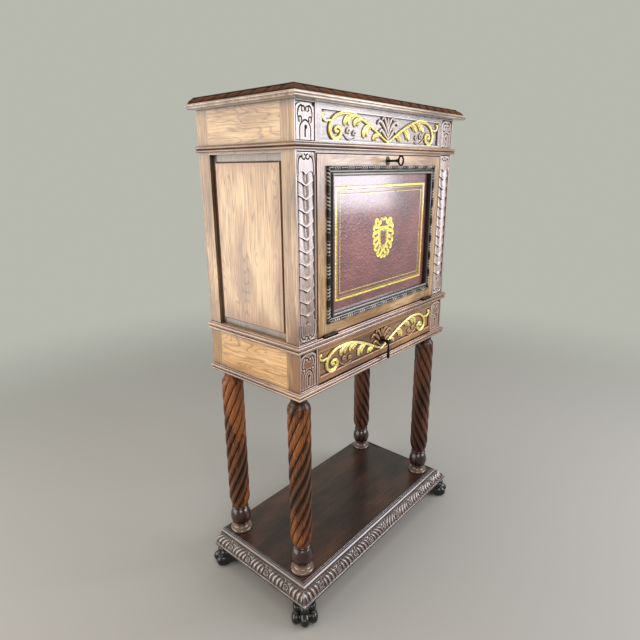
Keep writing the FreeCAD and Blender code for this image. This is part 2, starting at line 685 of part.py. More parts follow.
def doorMouldPoints():
    wide, proud = mm("doorMouldWidth"), mm("doorMouldProud")
    sunk, lip = mm("leatherSunk"), mm("doorMouldLip")
    return [(0, 0), (0, proud * 0.35), ((wide * 0.12, proud * 0.95), (wide * 0.34, proud)),
            (wide * 0.40, proud * 0.72), ((wide * 0.56, proud * 0.30), (wide * 0.72, proud * 0.42)),
            ((wide * 0.82, proud * 0.62), (wide * 0.92, proud * 0.38)), (wide, 0),
            (wide, -sunk), (wide - lip, -sunk), (wide - lip, 0)]


def doorMould(name, across, length, at, ends):
    profile = outline(name + "Profile", doorMouldPoints(), across, (0, -1, 0))
    run = extruded(name + "Run", profile, length, *at)
    tools = [mitre(f"{name}Mitre{count}", corner, away, (0, 1, 0))
             for count, (corner, away) in enumerate(ends)]
    return cut(name, run, *tools)


corners = {word: (x, caseFront, z) for word, x, z in (
    ("lowLeft", f"-{mouldX}", mouldLow), ("lowRight", mouldX, mouldLow),
    ("highLeft", f"-{mouldX}", mouldHigh), ("highRight", mouldX, mouldHigh))}
mouldAcross = f"2 * {mouldX}"
lowMould = doorMould("LowMould", (0, 0, 1), mouldAcross, corners["lowLeft"],
                     ((corners["lowLeft"], (-1, 0, 1)), (corners["lowRight"], (1, 0, 1))))
highMould = doorMould("HighMould", (0, 0, -1), mouldAcross, corners["highRight"],
                      ((corners["highLeft"], (-1, 0, -1)), (corners["highRight"], (1, 0, -1))))
leftMould = doorMould("LeftMould", (1, 0, 0), f"{mouldHigh} - {mouldLow}", corners["highLeft"],
                      ((corners["lowLeft"], (1, 0, -1)), (corners["highLeft"], (1, 0, 1))))
node("door_mouldings", group("DoorMouldings", lowMould, highMould, leftMould,
                             mirrored("RightMould", leftMould)))


# butt hinges: five knuckles on a pin at the door's lower front edge
def knuckles(name, turns):
    pieces = []
    for turn in turns:
        start = f"{hingeX} + hingeLength * {turn} / 5 + fit / 2"
        pieces.append(rod(f"{name}{turn}", "knuckleRadius", "hingeLength / 5 - fit", start, hingeY, hingeZ,
                          (1, 0, 0)))
    return pieces


def hingeLeaf(name, turns, low, high):
    near = f"{hingeY} + knuckleRadius + fit"
    plate = block(name + "Plate", (hingeX, f"{hingeX} + hingeLength"), (near, f"{near} + leafWidth"),
                  (low, high))
    tabs = [block(f"{name}Tab{turn}", (f"{hingeX} + hingeLength * {turn} / 5 + fit / 2",
                                       f"{hingeX} + hingeLength * ({turn} + 1) / 5 - fit / 2"),
                  (hingeY, f"{hingeY} + knuckleRadius + 2 * fit"), (low, high)) for turn in turns]
    solid = joined(name + "Solid", plate, *tabs, *knuckles(name + "Knuckle", turns))
    bore = rod(name + "Bore", "pinRadius + pinFit", "hingeLength + 2 * overrun", f"{hingeX} - overrun",
               hingeY, hingeZ, (1, 0, 0))
    return cut(name, solid, bore)


caseLeaf = hingeLeaf("CaseLeaf", (0, 2, 4), sillTop, f"{sillTop} + leafThick")
doorLeaf = hingeLeaf("DoorLeaf", (1, 3), f"{doorBottom} - leafThick", doorBottom)
node("hinge_case_leaves", pair("CaseLeaves", caseLeaf))
node("hinge_door_leaves", pair("DoorLeaves", doorLeaf))
pin = rod("Pin", "pinRadius", "hingeLength + 2 * fit", f"{hingeX} - fit", hingeY, hingeZ, (1, 0, 0))
tips = []
for name, x, turn in (("TipInner", f"{hingeX} - fit", -1),
                      ("TipOuter", f"{hingeX} + hingeLength + fit", 1)):
    tips.append(rod(name, "pinTip", "pinTip", x, hingeY, hingeZ, (turn, 0, 0)))
node("hinge_pins", pair("HingePins", joined("HingePin", pin, *tips)))

# the lock on the door's inner face, its bolt, key and escutcheon
lockTop = f"({doorTop} - fit)"
lockX = ("-lockWidth / 2", "lockWidth / 2")
lockZ = (f"{lockTop} - lockHeight", lockTop)
lockShell = block("LockShell", lockX, (doorBack, f"{doorBack} + lockThick"), lockZ)
lockRoom = block("LockRoom", ("-lockWidth / 2 + lockWall", "lockWidth / 2 - lockWall"),
                 (f"{doorBack} + lockWall", f"{doorBack} + lockThick - lockWall"),
                 (f"{lockTop} - lockHeight + lockWall", f"{lockTop} - lockWall"))
boltX = ("-boltWidth / 2", "boltWidth / 2")
boltYs = (f"{boltY} - boltThick / 2", f"{boltY} + boltThick / 2")
boltSlot = block("BoltSlot", ("-boltWidth / 2 - fit", "boltWidth / 2 + fit"),
                 (f"{boltYs[0]} - fit", f"{boltYs[1]} + fit"),
                 (f"{lockTop} - 2 * lockWall", f"{lockTop} + overrun"))
lockKeyHole = rod("LockKeyHole", "keyRadius + fit", "lockWall + 2 * overrun", "0",
                  f"{doorBack} - overrun", keyZ, (0, 1, 0))
node("lock_case", cut("LockCase", lockShell, lockRoom, boltSlot, lockKeyHole, doc.copyObject(bitHole)))
boltStock = block("BoltStock", boltX, boltYs,
                  (f"{keyZ} - boltTravel - 2 * keyRadius - 2 * fit", f"{lockTop} - fit"))
boltRace = block("BoltRace", ("-keyRadius - fit", "keyRadius + fit"),
                 (f"{boltYs[0]} - overrun", f"{boltYs[1]} + overrun"),
                 (f"{keyZ} - boltTravel - keyRadius - fit", f"{keyZ} + keyRadius + fit"))
node("lock_bolt", cut("LockBolt", boltStock, boltRace))

bowY = f"({caseFront} - keyOut + bowLength / 2)"
keyInner = f"({doorBack} + lockThick - lockWall - fit)"
bowLow = f"({caseFront} - keyOut + bowLength - bowWire / 2)"
keyShaft = rod("KeyShaft", "keyRadius", f"{keyInner} - {bowLow}", "0", bowLow, keyZ, (0, 1, 0))
keyCollar = rod("KeyCollar", "keyRadius * 1.6", "keyRadius", "0", f"{bowLow} + keyRadius", keyZ, (0, 1, 0))
keyBit = block("KeyBit", ("-bitWidth / 2", "bitWidth / 2"), (f"{boltYs[1]} + fit", keyInner),
               (f"{keyZ} - bitLength", keyZ))
bow = doc.addObject("Part::Cut", "KeyBow")
for word, wire in (("Outer", "0"), ("Hole", "bowWire")):
    bowOval = doc.addObject("Part::Ellipse", "Bow" + word)
    bind(bowOval, MajorRadius=f"bowHeight / 2 - {wire}", MinorRadius=f"bowLength / 2 - {wire}")
    bowOval.Placement = Placement(Vector(), Rotation(Vector(0, 0, 1), Vector(0, 1, 0), Vector(1, 0, 0),
                                                     "XYZ"))
    spare = "0" if wire == "0" else "overrun"
    place(bowOval, f"-bowThick / 2 - {spare}", bowY, keyZ)
    slab = doc.addObject("Part::Extrusion", "BowSlab" + word)
    slab.Base = bowOval
    slab.DirMode = "Custom"
    slab.Dir = Vector(1, 0, 0)
    slab.Solid = True
    bind(slab, LengthFwd=f"bowThick + 2 * {spare}")
    if word == "Outer":
        bow.Base = slab
    else:
        bow.Tool = slab
node("key", joined("Key", keyShaft, keyCollar, keyBit, bow))

plateOval = doc.addObject("Part::Ellipse", "EscutcheonOval")
bind(plateOval, MajorRadius="escutcheonHeight / 2", MinorRadius="escutcheonWidth / 2")
plateOval.Placement = Placement(Vector(), Rotation(Vector(0, 0, 1), Vector(1, 0, 0), Vector(0, 1, 0), "XYZ"))
place(plateOval, "0", f"{caseFront} - escutcheonThick", keyZ)
plate = doc.addObject("Part::Extrusion", "EscutcheonPlate")
plate.Base = plateOval
plate.DirMode = "Custom"
plate.Dir = Vector(0, 1, 0)
plate.Solid = True
bind(plate, LengthFwd="escutcheonThick")
plateKeyHole = rod("PlateKeyHole", "keyRadius + fit", "escutcheonThick + 2 * overrun", "0",
                   f"{caseFront} - escutcheonThick - overrun", keyZ, (0, 1, 0))
node("key_escutcheon", cut("KeyEscutcheon", plate, plateKeyHole, doc.copyObject(bitHole)))

# quadrant stays, concentric with the hinge, and the guides on the posts that stop them
guideFront = f"({doorBack} + guideBehindDoor)"
guideY = f"({guideFront} + guideDepth / 2)"


def staySector(name, inside, outside, thick, start, end):
    """A flat ring sector about the hinge line, from the start angle to the end angle."""
    sketch = doc.addObject("Sketcher::SketchObject", name + "Profile")
    ends = [Vector(math.cos(math.radians(turn)), math.sin(math.radians(turn)), 0) for turn in (start, end)]
    middle = Vector(math.cos(math.radians((start + end) / 2)), math.sin(math.radians((start + end) / 2)), 0)
    sketch.addGeometry(Part.Arc(ends[0] * outside, middle * outside, ends[1] * outside))
    sketch.addGeometry(Part.LineSegment(ends[1] * outside, ends[1] * inside))
    sketch.addGeometry(Part.Arc(ends[1] * inside, middle * inside, ends[0] * inside))
    sketch.addGeometry(Part.LineSegment(ends[0] * inside, ends[0] * outside))
    sketch.Placement = Placement(Vector(), Rotation(Vector(0, 1, 0), Vector(0, 0, 1), Vector(1, 0, 0),
                                                    "XYZ"))
    return extruded(name, sketch, thick, f"{stayX} - ({thick}) / 2", hingeY, hingeZ)


def stayTurns():
    """Angles of the strip at rest: its plate on the door, its free end, and the guide that it runs in."""
    radius, low = mm("stayRadius"), mm("stayRadius") - mm("stayWidth") / 2 - mm("stayStop")
    fixed = math.degrees(math.acos(mm(f"{doorBack} - {hingeY}") / radius))
    guideBack = mm(f"{guideFront} + guideDepth - {hingeY}")
    stopTurn = math.degrees(math.acos(guideBack / low)) - math.degrees(mm("looseFit") / radius)
    return fixed, stopTurn - 90


fixedTurn, freeTurn = stayTurns()
stopTurns = math.degrees(mm("stayThick") / mm("stayRadius"))
stayInside, stayOutside = mm("stayRadius - stayWidth / 2"), mm("stayRadius + stayWidth / 2")
strip = staySector("StayStrip", stayInside, stayOutside, "stayThick", freeTurn, fixedTurn)
stayEnd = staySector("StayEnd", stayInside - mm("stayStop"), stayOutside + mm("stayStop"), "stayThick",
                     freeTurn - stopTurns, freeTurn)
plateZ = f"({hingeZ} + stayRadius * {math.sin(math.radians(fixedTurn)):.9f})"
stayFoot = block("StayFoot", (f"{stayX} - stayPlateWidth / 2", f"{stayX} + stayPlateWidth / 2"),
                 (doorBack, f"{doorBack} + stayPlate"),
                 (f"{plateZ} - stayPlateHeight / 2", f"{plateZ} + stayPlateHeight / 2"))
stayFull = joined("StayFull", strip, stayEnd, stayFoot)
doorHollow = block("DoorHollow", (f"{stayX} - stayPlateWidth", f"{stayX} + stayPlateWidth"),
                   (f"{doorBack} - stayRadius", doorBack),
                   (f"{hingeZ}", f"{hingeZ} + 2 * stayRadius"))
node("quadrant_stays", pair("QuadrantStays", cut("QuadrantStay", stayFull, doorHollow)))
guideTurn = math.degrees(math.acos(mm(f"{guideY} - {hingeY}") / mm("stayRadius")))
guideZ = f"({hingeZ} + stayRadius * {math.sin(math.radians(guideTurn)):.9f})"
guideHalf = "(stayWidth / 2 + stayStop + guideWall + guideDepth / 3)"
guideStock = block("GuideStock", (f"{stayX} - stayThick / 2 - fit - guideWall", opening),
                   (guideFront, f"{guideFront} + guideDepth"),
                   (f"{guideZ} - {guideHalf}", f"{guideZ} + {guideHalf}"))
guideRace = staySector("GuideRace", stayInside - mm("fit"), stayOutside + mm("fit"), "stayThick + 2 * fit",
                       0, 90)
node("stay_guides", pair("StayGuides", cut("StayGuide", guideStock, guideRace)))

# the drawer, its runners and kickers, and its drop pull
drawerFrontX = (f"-{opening} + drawerGap", f"{opening} - drawerGap")
drawerFrontZ = (f"({postBottom} + drawerFrontLift)", f"({drawerTop} - drawerTopGap)")
drawerFrontBack = f"({caseFront} + drawerFrontThick)"
drawerBack = f"({drawerFrontBack} + drawerLength)"
drawerStock = block("DrawerStock", drawerFrontX, (caseFront, drawerFrontBack), drawerFrontZ)
drawerGround = block("DrawerGround", (f"-{opening} + carvingSide", f"{opening} - carvingSide"),
                     (f"{caseFront} - overrun", f"{caseFront} + carvingDepth"),
                     (f"{drawerFrontZ[0]} + carvingTop", f"{drawerFrontZ[1]} - carvingTop"))
pullZ = f"({caseBottom} + pullLift)"
pullY = f"({caseFront} - pullOut)"
shankHole = rod("ShankHole", "pullPinRadius + fit", "drawerFrontThick + 2 * overrun", "0",
                f"{caseFront} - overrun", pullZ, (0, 1, 0))
pullBoss = rod("PullBoss", "pullPlateRadius + looseFit", "drawerFrontThick / 2", "0", caseFront, pullZ,
               (0, 1, 0))
grooveY = (f"{drawerFrontBack} - drawerGroove", f"{drawerFrontBack} + overrun")
bottomZ = (f"({drawerFloor} + drawerBottomLift)", f"({drawerFloor} + drawerBottomLift + drawerBottomThick)")
bottomX = (f"-{drawerSide} + drawerSideThick - drawerGroove + fit",
           f"{drawerSide} - drawerSideThick + drawerGroove - fit")
bottomRoom = block("BottomRoom", (f"{bottomX[0]} - fit", f"{bottomX[1]} + fit"),
                   (grooveY[0], f"{drawerBack} + overrun"), bottomZ)
drawerSolid = joined("DrawerSolid", cut("DrawerSunk", drawerStock, drawerGround), pullBoss)
node("drawer_front", cut("DrawerFront", drawerSolid, shankHole, bottomRoom))
sideZ = (drawerFloor, f"({drawerFloor} + drawerSideHeight)")
drawerSideStock = block("DrawerSideStock", (f"-{drawerSide}", f"-{drawerSide} + drawerSideThick"),
                        (drawerFrontBack, drawerBack), sideZ)
node("drawer_sides", pair("DrawerSides", cut("DrawerSide", drawerSideStock, doc.copyObject(bottomRoom))))
node("drawer_bottom", block("DrawerBottom", bottomX, (f"{grooveY[0]} + fit", drawerBack), bottomZ))
node("drawer_back", block("DrawerBack",
                          (f"-{drawerSide} + drawerSideThick", f"{drawerSide} - drawerSideThick"),
                          (f"{drawerBack} - drawerSideThick", drawerBack), (bottomZ[1], sideZ[1])))
runnerX = (f"-{opening} + fit", f"-{opening} + runnerWidth")
runnerY = (f"{drawerFrontBack} + 2 * overrun", f"{drawerBack} + fit + stopLength")
runnerBase = block("RunnerBase", runnerX, runnerY, (postBottom, f"{drawerFloor} - fit"))
runnerSide = block("RunnerSide", (runnerX[0], f"-{drawerSide} - 2 * fit"), runnerY,
                   (postBottom, f"{postBottom} + runnerGuide"))
runnerStop = block("RunnerStop", runnerX, (f"{drawerBack} + fit", runnerY[1]),
                   (postBottom, f"{postBottom} + runnerGuide"))
node("drawer_runners", pair("DrawerRunners", joined("DrawerRunner", runnerBase, runnerSide, runnerStop)))
kicker = block("Kicker", (f"-{drawerSide}", f"-{drawerSide} + 2 * drawerSideThick"), (postBack, drawerBack),
               (f"{sideZ[1]} + 2 * fit", drawerTop))
node("drawer_kickers", pair("DrawerKickers", kicker))

pullPlate = rod("PullPlate", "pullPlateRadius", "pullPlateThick", "0", f"{caseFront} - pullPlateThick",
                pullZ, (0, 1, 0))
pullPost = rod("PullPost", "pullPostRadius", "pullOut", "0", pullY, pullZ, (0, 1, 0))
pullShank = rod("PullShank", "pullPinRadius", "drawerFrontThick + pullPostRadius + pullOut", "0", pullY,
                pullZ, (0, 1, 0))
pullNut = rod("PullNut", "pullPostRadius * 1.6", "pullPostRadius", "0", drawerFrontBack, pullZ, (0, 1, 0))
forkWide = "(pullPostRadius + dropEyeThick)"
pullEye = rod("PullEye", "pullEyeRadius", f"2 * {forkWide}", f"-{forkWide}", pullY, pullZ, (1, 0, 0))
forkRoom = block("ForkRoom", ("-dropEyeThick / 2 - fit", "dropEyeThick / 2 + fit"),
                 (f"{pullY} - pullEyeRadius - overrun", f"{pullY} + pullEyeRadius + fit"),
                 (f"{pullZ} - pullEyeRadius - overrun", f"{pullZ} + pullEyeRadius + overrun"))
pullPin = rod("PullPin", "pullPinRadius", f"2 * {forkWide}", f"-{forkWide}", pullY, pullZ, (1, 0, 0))
pullSolid = cut("PullSolid", joined("PullStock", pullPlate, pullPost, pullShank, pullNut, pullEye), forkRoom)
node("drawer_pull_post", joined("PullPostWhole", pullSolid, pullPin))


def dropProfile():
    eye, stem, bulb, length = mm("pullEyeRadius"), mm("dropStem"), mm("dropBulb"), mm("dropLength")
    return [(0, -length), ((bulb * 0.75, -length + bulb * 0.35), (bulb, -length + bulb * 1.2)),
            (stem, -eye - stem * 1.6), (stem * 0.8, -eye * 0.6), (0, -eye * 0.6)]


drop = turned("DropStem", outline("DropProfile", dropProfile()))
place(drop, "0", pullY, pullZ)
dropEye = rod("DropEye", "pullEyeRadius", "dropEyeThick", "-dropEyeThick / 2", pullY, pullZ, (1, 0, 0))
dropBore = rod("DropBore", "pullPinRadius + pinFit", "dropEyeThick + 2 * overrun",
               "-dropEyeThick / 2 - overrun", pullY, pullZ, (1, 0, 0))
node("drawer_pull_drop", cut("PullDrop", joined("DropSolid", drop, dropEye), dropBore))

doc.recompute()


def edgesWhere(shape, test):
    return [count for count, edge in enumerate(shape.Edges, start=1) if test(edge)]


def runsAlong(edge, axis, *fixed):
    """True for a straight edge along the axis whose other two coordinates are near the fixed ones."""
    centre, direction = edge.CenterOfMass, edge.Vertexes[-1].Point - edge.Vertexes[0].Point
    near = mm("pinFit")
    straight = all(abs(direction[other]) < near for other in range(3) if other != axis)
    return straight and all(abs(centre[other] - value) < near for other, value in fixed)


fieldX = mm(f"-{side} + panelFieldDepth")
fieldEdges = edgesWhere(sharpPanel.Shape, lambda edge: abs(edge.CenterOfMass.x - fieldX) < mm("pinFit")
                        and edge.BoundBox.XLength < mm("pinFit"))
bevel = mm("panelMarginDepth - panelFieldDepth")
bevelled.Edges = [(count, bevel * 0.9, bevel * 0.9) for count in fieldEdges]

topZ = mm(f"{caseTop} + topThick")
topFront = mm(f"{caseFront} - topOverhang")
topSide = mm(f"{side} + topOverhang")
topEdges = edgesWhere(topStock.Shape, lambda edge: runsAlong(edge, 0, (1, topFront), (2, topZ))
                      or runsAlong(edge, 1, (0, topSide), (2, topZ))
                      or runsAlong(edge, 1, (0, -topSide), (2, topZ)))
slopeIn = mm("topOverhang - topFlatEdge")
topCut.Edges = [(count, mm("topSlopeDrop"), slopeIn) for count in topEdges]
doc.recompute()
lowEdges = edgesWhere(topCut.Shape, lambda edge: runsAlong(edge, 0, (1, topFront), (2, mm(caseTop)))
                      or runsAlong(edge, 1, (0, topSide), (2, mm(caseTop)))
                      or runsAlong(edge, 1, (0, -topSide), (2, mm(caseTop))))
topRound.Edges = [(count, mm("topLipRound"), mm("topLipRound")) for count in lowEdges]
doc.recompute()

faults = [thing.Name for thing in doc.Objects if "Invalid" in thing.State or "Error" in thing.State]
for thing in nodes:
    if thing.Shape.isNull() or not thing.Shape.isValid() or not thing.Shape.Solids:
        faults.append(thing.Label)
if faults:
    raise RuntimeError("these did not build: " + ", ".join(faults))

os.makedirs("parts", exist_ok=True)
for thing in nodes:
    thing.Shape.exportStep(os.path.join("parts", thing.Label + ".step"))
    print(thing.Label, len(thing.Shape.Solids), "solids")
print(len(nodes), "nodes")
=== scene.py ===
import math

import bmesh
import bpy
import numpy as np
from mathutils import Matrix, Vector


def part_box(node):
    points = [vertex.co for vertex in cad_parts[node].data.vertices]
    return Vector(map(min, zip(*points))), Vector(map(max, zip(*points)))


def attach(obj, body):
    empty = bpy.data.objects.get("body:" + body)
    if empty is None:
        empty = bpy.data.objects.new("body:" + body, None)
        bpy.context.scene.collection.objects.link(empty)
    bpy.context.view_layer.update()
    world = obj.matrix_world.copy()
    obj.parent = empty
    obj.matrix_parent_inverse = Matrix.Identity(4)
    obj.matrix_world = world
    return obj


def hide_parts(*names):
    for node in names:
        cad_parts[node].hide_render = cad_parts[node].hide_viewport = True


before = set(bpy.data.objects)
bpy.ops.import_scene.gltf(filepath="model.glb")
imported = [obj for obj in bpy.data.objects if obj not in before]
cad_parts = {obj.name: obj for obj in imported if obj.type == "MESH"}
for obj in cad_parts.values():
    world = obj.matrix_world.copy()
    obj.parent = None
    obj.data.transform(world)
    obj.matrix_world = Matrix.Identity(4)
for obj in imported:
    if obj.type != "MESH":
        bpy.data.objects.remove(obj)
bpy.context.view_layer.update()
scene = bpy.context.scene
mm = 0.001

# main places, in mm, read from the frame's own boxes


def nodeBox(name):
    low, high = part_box(name)
    return [value / mm for value in low], [value / mm for value in high]


postLow, postHigh = nodeBox("post_front_left")
sillLow, sillHigh = nodeBox("case_floor_board")
railLow, railHigh = nodeBox("front_top_rail")
friezeLow, friezeHigh = nodeBox("frieze_panel")
drawerLow, drawerHigh = nodeBox("drawer_front")
topLow, topHigh = nodeBox("top_board")
leatherLow, leatherHigh = nodeBox("door_leather")
doorMouldLow, doorMouldHigh = nodeBox("door_mouldings")
platformTop = nodeBox("platform_board")[1][2]
caseHalf = -postLow[0]
caseFront = postLow[1]
openingHalf = friezeHigh[0]


# materials


def toLinear(colour):
    # linear RGBA of an sRGB hex colour
    channels = [int(colour[count:count + 2], 16) / 255 for count in (1, 3, 5)]
    return [value / 12.92 if value <= 0.04045 else ((value + 0.055) / 1.055) ** 2.4
            for value in channels] + [1.0]


def wire(tree, node, values=None, links=None):
    # sets a node's sockets from values and feeds them from links
    for key, value in (values or {}).items():
        node.inputs[key].default_value = value
    for key, socket in (links or {}).items():
        tree.links.new(socket, node.inputs[key])
    return node


def addNode(tree, kind, values=None, links=None, **settings):
    node = tree.nodes.new(kind)
    for name, value in settings.items():
        setattr(node, name, value)
    return wire(tree, node, values, links)


def ownPlace(tree):
    return addNode(tree, "ShaderNodeTexCoord").outputs["Object"]


def painted(tree, word):
    # an attribute that the mesh carries
    return addNode(tree, "ShaderNodeAttribute", attribute_name=word).outputs["Fac"]


def noise(tree, place, scale, detail, roughness=0.5):
    return addNode(tree, "ShaderNodeTexNoise", {"Scale": scale, "Detail": detail, "Roughness": roughness},
                   {"Vector": place}).outputs["Fac"]


def bumped(tree, height, strength, distance):
    return addNode(tree, "ShaderNodeBump", {"Strength": strength, "Distance": distance},
                   {"Height": height}).outputs[0]


def ramp(tree, factor, stops):
    node = addNode(tree, "ShaderNodeValToRGB", links={"Fac": factor})
    elements = node.color_ramp.elements
    while len(elements) < len(stops):
        elements.new(0.5)
    for element, (place, colour) in zip(elements, stops):
        element.position = place
        element.color = toLinear(colour) if isinstance(colour, str) else (colour,) * 3 + (1,)
    return node.outputs["Color"]


def feed(tree, node, entries):
    # links what comes from another node, and sets numbers and hex colours on the socket itself
    for key, value in entries.items():
        if hasattr(value, "is_output"):
            tree.links.new(value, node.inputs[key])
        else:
            node.inputs[key].default_value = toLinear(value) if isinstance(value, str) else value


def mixColour(tree, factor, first, second, blend="MIX"):
    node = addNode(tree, "ShaderNodeMix", data_type="RGBA", blend_type=blend)
    feed(tree, node, {0: factor, 6: first, 7: second})
    return node.outputs[2]


def calculate(tree, kind, first, second):
    node = addNode(tree, "ShaderNodeMath", operation=kind)
    feed(tree, node, {0: first, 1: second})
    return node.outputs[0]


def newMaterial(name):
    material = bpy.data.materials.new(name)
    material.use_nodes = True
    tree = material.node_tree
    return material, tree, tree.nodes["Principled BSDF"]


grainAxes = {"x": (1, 0, 0), "y": (0, 1, 0), "z": (0, 0, 1)}


def grainVector(tree, along, long, across, warp):
    # object coordinates stretched along the grain and a little warped, so that the figure wanders
    coordinates = ownPlace(tree)
    scale = [long if share else across for share in grainAxes[along]]
    mapping = addNode(tree, "ShaderNodeMapping", {"Scale": scale}, {"Vector": coordinates})
    sway = addNode(tree, "ShaderNodeTexNoise", {"Scale": 3.0, "Detail": 2.0}, {"Vector": coordinates})
    centred = addNode(tree, "ShaderNodeVectorMath", {1: (0.5, 0.5, 0.5)}, {0: sway.outputs["Color"]},
                      operation="SUBTRACT")
    scaled = addNode(tree, "ShaderNodeVectorMath", {"Scale": warp}, {0: centred.outputs[0]},
                     operation="SCALE")
    return addNode(tree, "ShaderNodeVectorMath", None, {0: mapping.outputs[0], 1: scaled.outputs[0]},
                   operation="ADD").outputs[0]


def paintedCornerShade(tree, colour, reach, shade, strength=1.0):
    # painted shade: an occlusion node darkens the colour toward the shade colour where surfaces meet
    shut = addNode(tree, "ShaderNodeAmbientOcclusion", {"Distance": reach * mm}, samples=6)
    amount = ramp(tree, shut.outputs["AO"], ((0.30, strength), (0.92, 0.0)))
    return mixColour(tree, amount, colour, shade)


def waxedWood(name, along, dark, middle, light, rough=0.36, coat=0.25, hollowShadeColour="#150b07",
              ridgeColour="#a8744a", figure=1.0, reach=9, rings=0.3, spread=0.12, sheen=0.5):
    # grain, pores and flat-sawn figure under wax; the relief attribute paints shade into carved hollows and a
    # highlight on ridges
    material, tree, surface = newMaterial(name)
    streaks = noise(tree, grainVector(tree, along, 7.0, 260.0, 0.8), 1.0, 5.0, 0.7)
    fine = noise(tree, grainVector(tree, along, 24.0, 900.0, 0.4), 1.0, 3.0, 0.7)
    tone = noise(tree, grainVector(tree, along, 4.0, 11.0, 0.9), 1.0, 4.0)
    broad = noise(tree, grainVector(tree, along, 1.5, 15.0, 0.45 * figure), 1.0, 1.5)
    ring = calculate(tree, "PINGPONG", calculate(tree, "MULTIPLY", broad, 30.0), 0.5)
    mixed = calculate(tree, "ADD", calculate(tree, "MULTIPLY", streaks, 0.42),
                      calculate(tree, "MULTIPLY", tone, 0.58))
    colour = ramp(tree, mixed, ((0.5 - spread, dark), (0.5, middle), (0.5 + spread, light)))
    lines = ramp(tree, ring, ((0.02, 1.0 - rings), (0.20, 1.0)))
    colour = mixColour(tree, 1.0, colour, lines, "MULTIPLY")
    pores = ramp(tree, fine, ((0.36, 0.55), (0.50, 1.0)))
    colour = mixColour(tree, 0.8, colour, pores, "MULTIPLY")
    # where an attribute is above 0 it greys the sunk margins as painted sheen; where it is below it browns
    # the colour, as painted shade on the posts' low blocks and the side panels' lower parts, and along the
    # side panels' edges
    sheenAndShade = painted(tree, "sheenAndShade")
    colour = mixColour(tree, calculate(tree, "MULTIPLY", sheenAndShade, 0.7), colour, "#595452")
    colour = mixColour(tree, calculate(tree, "MULTIPLY", sheenAndShade, -0.8), colour, "#76472a")
    relief = painted(tree, "relief")
    # painted shade in the hollows and a painted highlight on the ridges
    hollow = ramp(tree, calculate(tree, "MULTIPLY", relief, -1.0), ((0.06, 0.0), (0.55, 0.97)))
    ridge = ramp(tree, relief, ((0.10, 0.0), (0.95, 0.7)))
    colour = mixColour(tree, hollow, colour, hollowShadeColour)
    colour = mixColour(tree, ridge, colour, ridgeColour)
    colour = paintedCornerShade(tree, colour, reach, hollowShadeColour, 0.95)
    gloss = ramp(tree, streaks, ((0.3, rough + 0.09), (0.7, rough - 0.06)))
    height = calculate(tree, "ADD", calculate(tree, "MULTIPLY", fine, 0.8),
                       calculate(tree, "MULTIPLY", streaks, 0.6))
    wire(tree, surface, {"Coat Weight": coat, "Coat Roughness": 0.2, "Specular IOR Level": sheen},
         {"Base Color": colour, "Roughness": gloss, "Normal": bumped(tree, height, 0.2, 0.0004)})
    return material, tree, surface, colour


caseTones = ("#5c3c22", "#9a7349", "#caa67c")
panelTones = ("#8a6747", "#b68d5e", "#dab686")
# the lower boards take a lighter, more orange copy of the panel tones: painted light for the warm light low
# down
lowTones = ("#90633a", "#bf8f5a", "#e0b27c")
# the posts' grey-lilac tones are painted sheen; below the waist they are browned as painted shade
carvedTones = ("#5e4a46", "#8e766e", "#b39f96")
standTones = ("#170b07", "#301a12", "#4b2d20")
columnTones = ("#1c0902", "#4a220d", "#8c5025")
# a darker copy of the column tones: painted shade on the right-hand columns
shadedTones = ("#120502", "#2c130a", "#5a3120")
turnedTones = ("#150906", "#28130d", "#42241b")
mouldTones = ("#54362a", "#8e664c", "#bd9878")
blackTones = ("#040303", "#080606", "#100c0b")
blackEdgeTones = ("#0b0605", "#160c09", "#261812")

woodX = waxedWood("waxed_walnut_grain_across", "x", *caseTones, coat=0.5)[0]
woodY = waxedWood("waxed_walnut_grain_back", "y", *panelTones, figure=2.2, coat=0.5, reach=14, rings=0.42)[0]
# its wide occlusion reach paints shade far out from where surfaces meet, dark on the back posts' inner edges
woodZ = waxedWood("waxed_walnut_grain_up", "z", *caseTones, coat=0.5, reach=26)[0]
lowWood = waxedWood("waxed_walnut_lower_boards", "y", *lowTones, figure=2.2, coat=0.4, reach=14,
                    rings=0.42)[0]
panelWood = waxedWood("waxed_walnut_panel", "z", *panelTones, figure=1.2, coat=0.6, reach=16, rings=0.45,
                      spread=0.09)[0]
mouldX = waxedWood("waxed_walnut_moulding_across", "x", *mouldTones, rough=0.26, coat=0.8, reach=11)[0]
mouldY = waxedWood("waxed_walnut_moulding_back", "y", *mouldTones, rough=0.26, coat=0.8, reach=11)[0]
carvedZ = waxedWood("carved_walnut_grain_up", "z", *carvedTones, rough=0.28, coat=0.7, reach=4,
                    ridgeColour="#d8c8be")[0]
standX = waxedWood("dark_walnut_grain_across", "x", *standTones, rough=0.34, coat=0.3)[0]
standCarved = waxedWood("dark_walnut_carved", "x", *standTones, rough=0.22, coat=0.9, reach=4,
                        hollowShadeColour="#070303", ridgeColour="#b39a8c")[0]
columnWood = waxedWood("turned_walnut_columns", "z", *columnTones, rough=0.36, coat=0.06, reach=2.5,
                       hollowShadeColour="#180500", ridgeColour="#8a5c3c", spread=0.06, sheen=0.25)[0]
shadedColumn = waxedWood("turned_walnut_columns_shaded", "z", *shadedTones, rough=0.34, coat=0.06, reach=2.5,
                         hollowShadeColour="#0c0200", ridgeColour="#6a4530", spread=0.06, sheen=0.25)[0]
turnedWood = waxedWood("turned_walnut_balls", "z", *turnedTones, rough=0.24, coat=0.6, sheen=0.3,
                       hollowShadeColour="#0a0402", reach=5)[0]
